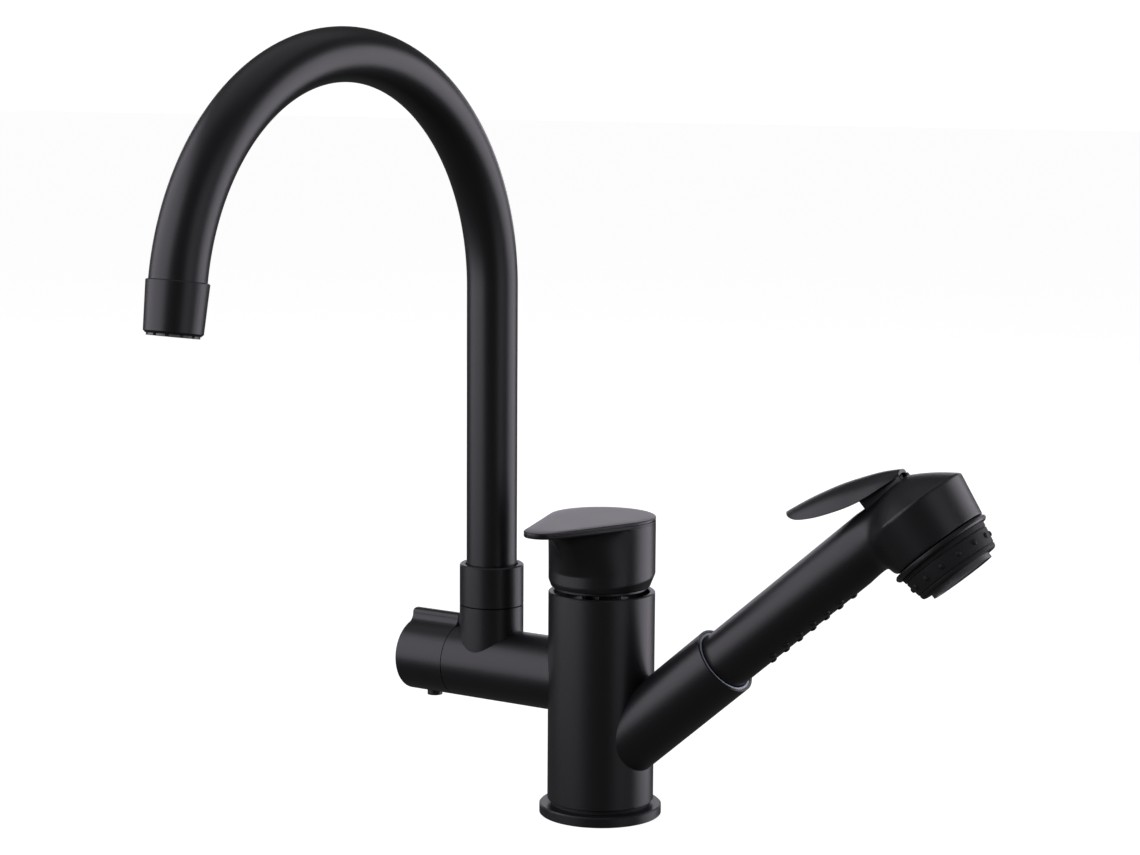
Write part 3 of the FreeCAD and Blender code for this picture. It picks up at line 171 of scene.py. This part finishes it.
def turnedMetal(name, tone, gloss):
    # bright metal with the fine rings of a lathe tool along the height
    paint = Paint(name)
    rings = paint.noise(1.0, 3.0, paint.stretch(40.0, 40.0, 5200.0))
    cloud = paint.noise(70.0, 3.0)
    return paint.finish(
        Base_Color=paint.mix(cloud, colour(*tone, 0.85), colour(*tone)),
        Roughness=gloss + rings * 0.14, Metallic=1.0, Normal=paint.bump(rings, 0.00003))


def firedCeramic(name):
    paint = Paint(name)
    speck = paint.noise(900.0, 4.0)
    return paint.finish(
        Base_Color=paint.mix(speck, colour(0.84, 0.84, 0.82), colour(0.93, 0.93, 0.91)),
        Roughness=0.16 + speck * 0.1, Normal=paint.bump(speck, 0.000004))


finishes = {
    "coated_metal": blackCoating("blackMetal", (0.0072, 0.0072, 0.0082), 0.36, 0.000010),
    "coated_handset": blackCoating("blackHandset", (0.0074, 0.0074, 0.0084), 0.38, 0.000010),
    "black_rubber": blackRubber("blackRubber", (0.0078, 0.0078, 0.0088)),
    "shank_brass": turnedMetal("turnedBrass", (0.78, 0.58, 0.27), 0.22),
    "zinc_plate": turnedMetal("brightSteel", (0.62, 0.62, 0.64), 0.24),
    "cartridge_plastic": mouldedPlastic("darkNylon", (0.035, 0.035, 0.036), 0.42),
    "ceramic_white": firedCeramic("firedCeramic"),
    "liner_plastic": mouldedPlastic("blueGreyPlastic", (0.50, 0.57, 0.66), 0.35),
    "grey_plastic": mouldedPlastic("silverPlastic", (0.15, 0.15, 0.155), 0.36),
    "marker_plastic": mouldedPlastic("darkMarker", (0.02, 0.02, 0.02), 0.2),
}
slotOfNode = {part["node"]: part["material_slot"] for part in frame["record"]["subparts"]}
blackHardware = {"knob_screw": "coated_metal", "clamp_nut": "coated_metal"}     # seen, and blackened
for nodeName, nodeObject in frame["nodes"].items():
    nodeObject.data.materials.clear()
    nodeObject.data.materials.append(finishes[blackHardware.get(nodeName, slotOfNode[nodeName])])
print("finishes made:", len(finishes))


# mesh building

def axes(origin, alongX, alongZ):
    # frame whose Z is alongZ and whose X is alongX, both unit vectors
    x, z = Vector(alongX).normalized(), Vector(alongZ).normalized()
    y = z.cross(x)
    return Matrix.Translation(origin) @ Matrix((x, y, z)).transposed().to_4x4()


def makePiece(name, points, faces, body, slot, place=None, creaseAngle=32.0, replaced=()):
    mesh = bpy.data.meshes.new(name)
    mesh.from_pydata([tuple(place @ Vector(p)) if place else tuple(p) for p in points], [], faces)
    work = bmesh.new()
    work.from_mesh(mesh)
    bmesh.ops.remove_doubles(work, verts=work.verts, dist=1e-6)
    bmesh.ops.recalc_face_normals(work, faces=work.faces)
    work.to_mesh(mesh)
    work.free()
    return settle(bpy.data.objects.new(name, mesh), body, slot, creaseAngle, replaced)


def settle(piece, body, slot, creaseAngle=32.0, replaced=()):
    if piece.name not in bpy.context.scene.collection.objects:
        bpy.context.scene.collection.objects.link(piece)
    piece.data.shade_smooth()
    piece.data.set_sharp_from_angle(angle=math.radians(creaseAngle))
    piece.data.materials.clear()
    piece.data.materials.append(finishes[slot])
    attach(piece, body)
    if replaced:
        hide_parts(*replaced)
    return piece


def skin(rings, capStart=True, capEnd=True, closed=False):
    # quads between rings of equal length; each open end gets one flat face
    count = len(rings[0])
    points = [p for ring in rings for p in ring]
    faces = []
    steps = len(rings) if closed else len(rings) - 1
    for i in range(steps):
        a, b = i * count, (i + 1) % len(rings) * count
        faces += [(a + k, a + (k + 1) % count, b + (k + 1) % count, b + k) for k in range(count)]
    if capStart and not closed:
        faces.append(tuple(range(count)))
    if capEnd and not closed:
        faces.append(tuple(range(len(points) - count, len(points))))
    return points, faces


def softCorners(profile, steps=4):
    # profile of (radius, height, rounding) corners, each rounding worked as a small curve
    out = []
    for i, (r, z, rounding) in enumerate(profile):
        here = Vector((r, z))
        if rounding <= 0 or i in (0, len(profile) - 1):
            out.append(here)
            continue
        before = Vector(profile[i - 1][:2]) - here
        after = Vector(profile[i + 1][:2]) - here
        reach = min(rounding, before.length * 0.49, after.length * 0.49)
        a, b = here + before.normalized() * reach, here + after.normalized() * reach
        for k in range(steps + 1):
            t = k / steps
            out.append(a * (1 - t) ** 2 + here * 2 * t * (1 - t) + b * t * t)
    return out


def circle(radius, height, sides, shift=0.0):
    # one ring of points about Z, from sizes in millimetres
    angles = [2 * math.pi * k / sides for k in range(sides)]
    return [((radius * math.cos(a) - shift) * mm, radius * math.sin(a) * mm, height * mm) for a in angles]


def turn(name, profile, body, slot, place=None, sides=128, replaced=(), creaseAngle=32.0, ring=False):
    # a turned piece; profile in millimetres, revolved about the frame's Z
    rings = [circle(p.x, p.y, sides) for p in softCorners(profile)]
    points, faces = skin(rings, closed=ring)
    return makePiece(name, points, faces, body, slot, place, creaseAngle, replaced)


def applyAll(piece):
    graph = bpy.context.evaluated_depsgraph_get()
    flat = bpy.data.meshes.new_from_object(piece.evaluated_get(graph))
    piece.modifiers.clear()
    piece.data = flat
    return piece


def soften(piece, width, segments=3):
    # broken edges on a flat-sided piece
    bevel = piece.modifiers.new("edges", "BEVEL")
    bevel.width, bevel.segments, bevel.limit_method = width * mm, segments, "ANGLE"
    bevel.angle_limit = math.radians(25)
    applyAll(piece)
    piece.data.shade_smooth()
    piece.data.set_sharp_from_angle(angle=math.radians(40))


# the frames of the slanted pieces, read from the joints

placeSizes = {"twistFromOrigin": 60, "headAxis": 215.6, "spoutTurn": -1.8}
holderAxis = Vector(joints["handset_twist"]["axis"])
underSide = Vector(joints["valve_push"]["axis"])
handsetOrigin = Vector(joints["handset_twist"]["pos_m"]) - holderAxis * placeSizes["twistFromOrigin"] * mm
handsetPlace = axes(handsetOrigin, underSide, holderAxis)       # Z up the handle, X to its underside
headOrigin = handsetOrigin + holderAxis * placeSizes["headAxis"] * mm
headPlace = axes(headOrigin, -holderAxis, underSide)            # Z along the water
spoutPivot = Vector(joints["spout_swivel"]["pos_m"])
spoutTurn = math.radians(placeSizes["spoutTurn"])


# lever

leverSizes = {
    "capRadius": 25.9, "capBottom": 111.6, "top": 147.0, "tipRadius": 9.0, "tipReach": 61.0,
    "edgeRound": 0.55, "plateEdge": 3.1, "plateTipEdge": 2.3, "blendStart": 121.0, "blendPower": 3.6,
    "reliefRadius": 23.45, "reliefSlope": 20.8, "reliefShift": 1.25, "reliefLean": 1.85,
    "cavity": 20.8, "cavityTop": 138.0, "boss": 7.0, "bossFoot": 124.2, "groove": 0.45, "grooveDrop": 1.25,
    "skirtStep": 0.8, "skirtHeight": 1.3, "skirtEdge": 0.3, "coneStep": 0.55,
    "blendSteps": 26, "blendEase": 1.35, "plateMargin": 0.5,
}


def leverOutline(sides=220):
    # points spaced evenly along the edge of the plate, seen from above
    cap, tip = leverSizes["capRadius"], leverSizes["tipRadius"]
    centre = leverSizes["tipReach"] - tip
    lean = math.asin((cap - tip) / centre)
    line = []
    for k in range(61):
        angle = -lean + (math.pi + 2 * lean) * k / 60
        line.append(Vector((cap * math.cos(angle), cap * math.sin(angle))))
    for k in range(41):
        angle = math.pi + lean + (math.pi - 2 * lean) * k / 40
        line.append(Vector((tip * math.cos(angle), tip * math.sin(angle) - centre)))
    line.append(line[0])
    lengths = [0.0]
    for a, b in zip(line, line[1:]):
        lengths.append(lengths[-1] + (b - a).length)
    out, piece = [], 0
    for k in range(sides):
        goal = lengths[-1] * k / sides
        while lengths[piece + 1] < goal:
            piece += 1
        share = (goal - lengths[piece]) / max(lengths[piece + 1] - lengths[piece], 1e-9)
        out.append(line[piece].lerp(line[piece + 1], share))
    return out


def capReach(direction, z):
    # radius of the cap at this height, where a leaning taper cuts its lower edge
    size = leverSizes
    rise = z - size["capBottom"]
    coneRadius = size["reliefRadius"] + rise * math.tan(math.radians(size["reliefSlope"]))
    middle = -size["reliefShift"] + rise * math.tan(math.radians(size["reliefLean"]))
    b = direction.y * middle
    taper = b + math.sqrt(max(b * b - middle * middle + coneRadius * coneRadius, 0.0))
    return min(size["capRadius"], taper)


def makeLever():
    size = leverSizes
    outline = leverOutline()
    directions = [p.normalized() for p in outline]
    reach = [p.length for p in outline]
    top, cap = size["top"], size["capRadius"]
    rings = []

    def ring(shape):
        rings.append([shape(i) for i in range(len(outline))])

    def at(i, radius, z):
        return (directions[i].x * radius * mm, directions[i].y * radius * mm, z * mm)

    def edgeFoot(i):
        # lower side of the plate's edge: thinner towards the tip
        share = min(max((reach[i] - cap) / (size["tipReach"] - cap), 0.0), 1.0)
        return top - (size["plateEdge"] + (size["plateTipEdge"] - size["plateEdge"]) * share)

    low, step, edge = size["capBottom"], size["skirtStep"], size["skirtEdge"]
    skirtTop = low + size["skirtHeight"]
    ring(lambda i: at(i, size["cavity"], low))                  # the recessed skirt below the cap
    ring(lambda i: at(i, capReach(directions[i], low) - step - edge, low))
    ring(lambda i: at(i, capReach(directions[i], low) - step, low + edge))
    ring(lambda i: at(i, capReach(directions[i], low) - step, skirtTop))
    ring(lambda i: at(i, capReach(directions[i], skirtTop) - 0.25, skirtTop + 0.1))
    z = skirtTop + 0.4
    while z < size["blendStart"]:                               # the taper, and the straight wall above it
        ring(lambda i: at(i, capReach(directions[i], z), z))
        z += size["coneStep"]
    steps, margin = size["blendSteps"], size["plateMargin"]
    for k in range(steps + 1):                                  # the wall flows out under the plate
        share = (k / steps) ** size["blendEase"]
        rise = 1 - (1 - share) ** size["blendPower"]

        def blended(i):
            foot = edgeFoot(i) - margin
            radius = cap + (reach[i] - margin - cap) * share if reach[i] > cap + margin else cap
            return at(i, radius, size["blendStart"] + (foot - size["blendStart"]) * rise)
        ring(blended)
    ring(lambda i: at(i, reach[i] - 0.12, edgeFoot(i) - 0.15))
    ring(lambda i: at(i, reach[i], edgeFoot(i) + 0.25))
    groove, rounding = size["groove"], size["edgeRound"]
    for inset, level in ((0.0, -0.34), (groove, -0.20), (groove, 0.20), (0.0, 0.34)):
        ring(lambda i: at(i, reach[i] - inset, top - size["grooveDrop"] + level))
    for k in range(6):                                          # the rounded upper edge
        inward = rounding * (1 - math.cos(math.pi / 2 * k / 5))
        downward = rounding * (1 - math.sin(math.pi / 2 * k / 5))
        ring(lambda i: at(i, reach[i] - inward, top - downward))
    ring(lambda i: at(i, reach[i] * 0.8, top + 0.02))
    points, faces = skin(rings, capStart=False)
    start = len(points)                                         # the hollow under the cap, and its boss
    count = len(outline)
    for radius, height in ((size["cavity"], size["cavityTop"]), (size["boss"], size["cavityTop"]),
                           (size["boss"], size["bossFoot"])):
        points += [at(i, radius, height) for i in range(count)]
    for a, b in ((0, start), (start, start + count), (start + count, start + 2 * count)):
        faces += [(a + (k + 1) % count, a + k, b + k, b + (k + 1) % count) for k in range(count)]
    faces.append(tuple(range(start + 2 * count, start + 3 * count)))
    return makePiece("leverShell", points, faces, "lever", "coated_metal", None, 38.0, ("lever_handle",))


makeLever()
print("lever made")


# trigger leaf

leafSizes = {
    "crest": [(223.8, 17.2), (215.4, 21.7), (205.0, 25.9), (194.0, 29.6), (180.2, 33.0), (169.6, 34.9),
              (164.8, 35.6)],
    "halfWidth": 12.8, "drop": 10.0, "thickness": 1.9, "rim": 0.8, "along": 72, "across": 23,
    "swellStart": 0.07, "swellSpan": 0.928, "swellPower": 0.70, "tipPower": 0.62,
    "web": [(-16.7, 201.0), (-16.6, 214.0), (-12.6, 216.6), (-12.0, 219.0), (-12.6, 221.2), (-15.6, 221.6),
            (-17.6, 218.5), (-21.4, 211.0), (-25.8, 201.4)],
    "rib": 2.1, "ribEdge": 0.3,
}


def spread(points, count):
    # points of a smooth curve through the given ones
    out = []
    for k in range(count):
        t = k / (count - 1) * (len(points) - 1)
        i = min(int(t), len(points) - 2)
        f = t - i
        p0, p1 = Vector(points[max(i - 1, 0)]), Vector(points[i])
        p2, p3 = Vector(points[i + 1]), Vector(points[min(i + 2, len(points) - 1)])
        out.append(0.5 * (2 * p1 + (p2 - p0) * f + (2 * p0 - 5 * p1 + 4 * p2 - p3) * f * f
                          + (3 * p1 - p0 - 3 * p2 + p3) * f ** 3))
    return out


def flatPiece(name, side, low, high, body, edge):
    # a plate cut to this side view, from low to high across the handle, with its edges broken
    points, faces = skin([[(x * mm, y * mm, z * mm) for x, z in side] for y in (low, high)])
    soften(makePiece(name, points, faces, body, "coated_handset", handsetPlace, 30.0), edge)


def makeLeaf():
    size = leafSizes
    crest = spread(size["crest"], size["along"])
    rings = []
    across = size["across"]
    for k, (along, high) in enumerate(crest):
        share = k / (len(crest) - 1)
        power = size["swellPower"] + (size["tipPower"] - size["swellPower"]) * share
        swell = math.sin(math.pi * (size["swellStart"] + size["swellSpan"] * share)) ** power
        width = max(size["halfWidth"] * swell, 0.35)
        deep = size["drop"] * swell ** 1.5 + 0.05
        before, after = crest[max(k - 1, 0)], crest[min(k + 1, len(crest) - 1)]
        normal = Vector((before.y - after.y, after.x - before.x)).normalized()
        if normal.y < 0:
            normal = -normal
        thick = size["thickness"] * min(1.0, 0.3 + 1.6 * swell)
        ring = []
        for side in (1, -1):
            for n in range(across):
                t = (n / (across - 1) * 2 - 1) * side
                rim = 1.0 - 0.5 * (1 - min(1.0, (1 - abs(t)) * width / size["rim"])) ** 2
                y = t * (width - (0.0 if side > 0 else thick * 0.35))
                level = -deep * (1 - math.sqrt(max(1 - (abs(t) * 0.93) ** 2.1, 0.0))) / 0.63
                if side < 0:
                    level -= thick * (0.35 + 0.65 * (1 - abs(t) ** 3)) * rim
                ring.append((-(high + normal.y * level) * mm, y * mm, (along + normal.x * level) * mm))
        rings.append(ring)
    points, faces = skin(rings, capStart=False, capEnd=False)
    for start in (0, len(points) - 2 * across):                 # the thin arched ends, closed edge to edge
        faces += [(start + n, start + n + 1, start + 2 * across - 2 - n, start + 2 * across - 1 - n)
                  for n in range(across - 1)]
    makePiece("triggerLeaf", points, faces, "trigger", "coated_handset", handsetPlace, 50.0,
              ("trigger_lever",))
    flatPiece("triggerRib", size["web"], -size["rib"], size["rib"], "trigger", size["ribEdge"])


makeLeaf()
print("trigger made")


# hand spray

spraySizes = {
    "handle": 14.14, "handleEnd": 51.0, "handleTop": 211.0, "skirt": 24.1, "skirtDrop": 20.0,
    "shoulder": 25.9, "shoulderShift": 1.8, "crown": 8.0, "crownHeight": 13.6, "roofSwell": 0.9,
    "voxel": 0.5, "smoothing": 8,
    "seamWidth": 0.35, "seamTop": 212.0, "filletReach": 15.0, "filletSmoothing": 700,
}


def headRings(sides=320):
    size = spraySizes
    shoulder, shift = size["shoulder"], size["shoulderShift"]
    rings = []
    for k in range(41):                                         # skirt, from its edge up to the shoulder
        t = k / 40
        radius = size["skirt"] + (shoulder - size["skirt"]) * t
        rings.append(circle(radius, size["skirtDrop"] * (1 - t), sides, shift * t))
    for k in range(1, 41):                                      # roof, up to the crown
        t = k / 40
        radius = shoulder + (size["crown"] - shoulder) * t
        height = -size["crownHeight"] * t - size["roofSwell"] * math.sin(math.pi * t)
        rings.append(circle(radius, height, sides, shift * (1 - t)))
    return rings


def joinSolids(name, solids):
    # several closed meshes, run together into one skin
    mesh = bpy.data.meshes.new(name)
    work = bmesh.new()
    for points, faces, place in solids:
        part = bpy.data.meshes.new(name + "Part")
        part.from_pydata([tuple(place @ Vector(p)) for p in points], [], faces)
        work.from_mesh(part)
        bpy.data.meshes.remove(part)
    bmesh.ops.recalc_face_normals(work, faces=work.faces)
    work.to_mesh(mesh)
    work.free()
    piece = bpy.data.objects.new(name, mesh)
    bpy.context.scene.collection.objects.link(piece)
    return piece


def roundRod(radius, start, end, sides=120):
    return skin([circle(radius, height, sides) for height in (start, (start + end) / 2, end)])


def makeSprayShell():
    size = spraySizes
    headPoints, headFaces = skin(headRings())
    backFromHead = handsetPlace.inverted() @ headPlace
    rodPoints, rodFaces = roundRod(size["handle"], size["handleEnd"], size["handleTop"])
    piece = joinSolids("sprayShell", [(headPoints, headFaces, headPlace),
                                      (rodPoints, rodFaces, handsetPlace)])
    remesh = piece.modifiers.new("blend", "REMESH")
    remesh.mode = "VOXEL"
    remesh.voxel_size = size["voxel"] * mm
    applyAll(piece)
    seam = []                                                   # where the head's skin meets the handle's
    for point in headPoints:
        spot = backFromHead @ Vector(point)
        besideHandle = abs(math.hypot(*spot.xy) - size["handle"] * mm) < size["seamWidth"] * mm
        if besideHandle and spot.z < size["seamTop"] * mm:
            seam.append(headPlace @ Vector(point))
    tree = KDTree(len(seam))
    for number, spot in enumerate(seam):
        tree.insert(spot, number)
    tree.balance()
    group = piece.vertex_groups.new(name="seam")
    for corner in piece.data.vertices:
        away = tree.find(corner.co)[2] / (size["filletReach"] * mm)
        if away < 1:
            group.add([corner.index], 1 - away * away, "REPLACE")
    rounds = (("fillet", size["filletSmoothing"], "seam"), ("soften", size["smoothing"], ""))
    for name, steps, where in rounds:
        smooth = piece.modifiers.new(name, "SMOOTH")
        smooth.factor, smooth.iterations, smooth.vertex_group = 0.5, steps, where
    applyAll(piece)
    return settle(piece, "hand_spray", "coated_handset", 180.0, ("handset_shell",))


makeSprayShell()


earSizes = {
    "side": [(-8.0, 199.6), (-19.4, 199.6), (-20.4, 200.8), (-15.8, 221.2), (-14.8, 223.2), (-8.0, 223.2)],
    "outer": 5.2, "inner": 2.4, "edge": 0.45,
}


def makeBracket():
    # two ears that carry the trigger's pin, with the slot between them
    size = earSizes
    outer, inner = size["outer"], size["inner"]
    for word, low, high in (("Left", -outer, -inner), ("Right", inner, outer)):
        flatPiece("triggerEar" + word, size["side"], low, high, "hand_spray", size["edge"])


makeBracket()


def domeCap(centre, outward, radius, height, sides=20, steps=5):
    # a low rounded nub on a surface
    place = axes(centre, outward.orthogonal(), outward)
    rings = []
    for i in range(steps):
        angle = math.pi / 2 * i / steps
        level = height * math.sin(angle) if i else -0.15        # the foot is sunk a little
        ring = circle(radius * math.cos(angle), level, sides)
        rings.append([tuple(place @ Vector(point)) for point in ring])
    return skin(rings)


def makeNubs(name, spots, radius, height, place, body, slot, replaced=()):
    points, faces = [], []
    for centre, outward in spots:
        foot = place @ Vector([c * mm for c in centre])
        capPoints, capFaces = domeCap(foot, place.to_3x3() @ Vector(outward), radius, height)
        faces += [tuple(i + len(points) for i in face) for face in capFaces]
        points += capPoints
    return makePiece(name, points, faces, body, slot, None, 50.0, replaced)


gripSizes = {
    "rows": (-26, 0, 26), "count": 7, "start": 112.3, "pitch": 9.0,
    "radius": 1.75, "height": 0.85, "sink": 0.05,
}
gripSpots = []
for rowNumber, rowAngle in enumerate(gripSizes["rows"]):
    turnAngle = math.radians(rowAngle)
    outward = (math.cos(turnAngle), math.sin(turnAngle), 0.0)
    shift = 0.5 * (1 - rowNumber % 2)
    for k in range(gripSizes["count"] - 1 + rowNumber % 2):
        along = gripSizes["start"] + gripSizes["pitch"] * (k + shift)
        reach = spraySizes["handle"] - gripSizes["sink"]
        gripSpots.append(((outward[0] * reach, outward[1] * reach, along), outward))
makeNubs("gripNubs", gripSpots, gripSizes["radius"], gripSizes["height"], handsetPlace, "hand_spray",
         "black_rubber")
print("hand spray shell made")


# bumper

bumperSizes = {
    "start": 22.8, "top": 22.4, "low": 20.1, "height": 12.5, "inner": 19.1,
    "nubs": 14, "nubRadius": 1.35, "nubHeight": 0.85,
}


def makeBumper():
    size = bumperSizes
    low = size["start"] + size["height"]
    groove = size["start"] + 2.2
    slope = (size["low"] - size["top"]) / size["height"]

    def radiusAt(z):
        return size["top"] + slope * (z - size["start"])

    turn("rubberBumper", [
        (size["inner"], size["start"], 0), (size["top"], size["start"], 0.3),
        (radiusAt(groove), groove, 0.15), (radiusAt(groove) - 0.45, groove + 0.15, 0.1),
        (radiusAt(groove) - 0.45, groove + 0.55, 0.1), (radiusAt(groove + 0.7), groove + 0.7, 0.15),
        (radiusAt(low - 2.6), low - 2.6, 0.15), (radiusAt(low - 2.6) - 0.35, low - 2.45, 0.1),
        (radiusAt(low - 2.1) - 0.35, low - 2.1, 0.1), (radiusAt(low - 2.0), low - 2.0, 0.15),
        (size["low"], low - 0.5, 0.4), (size["low"] - 0.8, low, 0.4), (size["inner"], low, 0)],
        "hand_spray", "black_rubber", headPlace, 144, ("spray_bumper",), 30.0)
    middle = size["start"] + size["height"] * 0.5
    spots = []
    for k in range(size["nubs"]):
        angle = 2 * math.pi * k / size["nubs"]
        outward = (math.cos(angle), math.sin(angle), -slope * 0.5)
        reach = radiusAt(middle)
        spots.append(((reach * math.cos(angle), reach * math.sin(angle), middle), outward))
    makeNubs("bumperNubs", spots, size["nubRadius"], size["nubHeight"], headPlace, "hand_spray",
             "black_rubber")


makeBumper()
print("bumper made")


# holder

lipSizes = {"inner": 14.75, "outer": 15.85, "depth": 1.4, "below": 0.2, "holderEnd": 90.9}


def makeLinerLip():
    # the pale rim of the liner, just inside the holder's mouth
    size = lipSizes
    top, soft = size["holderEnd"] - size["below"], 0.25
    low = top - size["depth"]
    turn("linerLip", [(size["inner"], low, 0), (size["outer"], low, 0), (size["outer"], top, soft),
                      (size["inner"], top, soft)], "body", "liner_plastic", handsetPlace, ring=True)


makeLinerLip()
print("holder made")


# gooseneck

neckSizes = {
    "radius": 12.5, "wall": 1.7, "start": 80.4, "bendHeight": 254.3, "bendRadius": 112.0, "sweep": 171.5,
    "sides": 96, "bendSteps": 140, "legSteps": 8,
}


def makeGooseneck():
    size = neckSizes
    place = Matrix.Translation((spoutPivot.x, spoutPivot.y, 0)) @ Matrix.Rotation(spoutTurn, 4, "Z")
    bend, rise = size["bendRadius"], size["bendHeight"] - size["start"]
    stations = []                                               # centre and angle, up the leg, round the bend
    for k in range(size["legSteps"]):
        stations.append((Vector((0, 0, size["start"] + rise * k / size["legSteps"])), 0.0))
    for k in range(size["bendSteps"] + 1):
        angle = math.radians(size["sweep"]) * k / size["bendSteps"]
        height = size["bendHeight"] + bend * math.sin(angle)
        stations.append((Vector((0, -bend * (1 - math.cos(angle)), height)), angle))

    def ring(spot, radius):
        centre, angle = spot
        sideways = Vector((1, 0, 0))
        inward = Vector((0, -math.cos(angle), -math.sin(angle)))
        out = []
        for k in range(size["sides"]):
            a = 2 * math.pi * k / size["sides"]
            out.append(tuple((centre + radius * (sideways * math.cos(a) + inward * math.sin(a))) * mm))
        return out

    outside = [ring(spot, size["radius"]) for spot in stations]
    inside = [ring(spot, size["radius"] - size["wall"]) for spot in reversed(stations)]
    points, faces = skin(outside + inside, closed=True)
    return makePiece("gooseneckPipe", points, faces, "spout", "coated_metal", place, 40.0, ("spout_pipe",))


makeGooseneck()
print("gooseneck made")


# floor, lights and camera

def pane(name, width, depth, place, material):
    mesh = bpy.data.meshes.new(name)
    mesh.from_pydata([(-width / 2, -depth / 2, 0), (width / 2, -depth / 2, 0), (width / 2, depth / 2, 0),
                      (-width / 2, depth / 2, 0)], [], [(0, 1, 2, 3)])
    made = bpy.data.objects.new(name, mesh)
    made.matrix_world = place
    made.data.materials.append(material)
    bpy.context.scene.collection.objects.link(made)
    return made


floorPaint = Paint("paleFloor")
floorCloud = floorPaint.noise(3.0, 2.0)
floorPaint.finish(
    Base_Color=floorPaint.mix(floorCloud, colour(0.26, 0.26, 0.26), colour(0.28, 0.28, 0.28)),
    Roughness=0.9, Specular_IOR_Level=0.1, Emission_Color=colour(1, 1, 1), Emission_Strength=0.95)
floor = pane("floor", 30.0, 30.0, Matrix.Translation((0, 0, -0.0002)), floorPaint.material)
floor.visible_glossy = floor.visible_diffuse = False


def softbox(name, spot, target, width, height, power):
    lamp = bpy.data.lights.new(name, "AREA")
    lamp.shape, lamp.size, lamp.size_y, lamp.energy = "RECTANGLE", width, height, power
    lamp.color = (0.94, 0.90, 1.0)                              # a touch cool
    holder = bpy.data.objects.new(name, lamp)
    holder.location = spot
    holder.rotation_euler = (Vector(target) - Vector(spot)).to_track_quat("-Z", "Y").to_euler()
    holder.visible_camera = False
    bpy.context.scene.collection.objects.link(holder)
    return holder


view = {"spot": Vector((0.66493, -1.05847, 0.35965)), "forward": Vector((-0.53774, 0.83228, -0.13474)),
        "right": Vector((0.83945, 0.54340, 0.00636)), "lens": 82.9}
aim = Vector((0, 0, 0.17))
away = Vector((view["forward"].x, view["forward"].y, 0)).normalized()     # level, camera to object


def besideCamera(angle, rise, distance):
    # a spot this many degrees to the right of the camera's side of the object, and this many above
    level = Matrix.Rotation(math.radians(angle), 3, "Z") @ -away
    lift = math.radians(rise)
    return aim + (level * math.cos(lift) + Vector((0, 0, math.sin(lift)))) * distance


# for each lamp: degrees from the camera, rise, distance, width, height, power
studio = {
    "leftBox": (-75, 19, 1.6, 2.6, 1.9, 29), "rightBox": (106, 3, 1.6, 1.5, 1.5, 17),
    "frontBox": (43, 8, 1.7, 1.0, 1.6, 4), "backBox": (180, 9, 2.0, 2.4, 0.5, 6),
    "topBox": (180, 80, 2.0, 2.4, 2.0, 6),
}
for lampName, (angle, rise, distance, width, height, power) in studio.items():
    softbox(lampName, besideCamera(angle, rise, distance), aim, width, height, power)

world = bpy.data.worlds.new("studio")
world.use_nodes = True
bpy.context.scene.world = world
sky = Wiring(world.node_tree)
seen = sky.node("ShaderNodeLightPath", {}, output="Is Camera Ray")      # white if seen, dim as light
backdrop = sky.node("ShaderNodeBackground", {}, Color=colour(1, 1, 1), Strength=0.09 + seen * 0.96)
worldEnd = sky.tree.nodes.new("ShaderNodeOutputWorld")
sky.feed(worldEnd.inputs["Surface"], backdrop)
bpy.context.scene.view_settings.view_transform = "Standard"

camera = bpy.data.cameras.new("camera")
camera.lens, camera.sensor_width = view["lens"], 36.0
camera.clip_start, camera.clip_end = 0.05, 60.0
tripod = bpy.data.objects.new("camera", camera)
forward, right = view["forward"].normalized(), view["right"].normalized()
upward = right.cross(forward).normalized()
right = forward.cross(upward)
facing = Matrix((right, upward, -forward)).transposed().to_4x4()
tripod.matrix_world = Matrix.Translation(view["spot"]) @ facing
bpy.context.scene.collection.objects.link(tripod)
bpy.context.scene.camera = tripod
print("studio made")
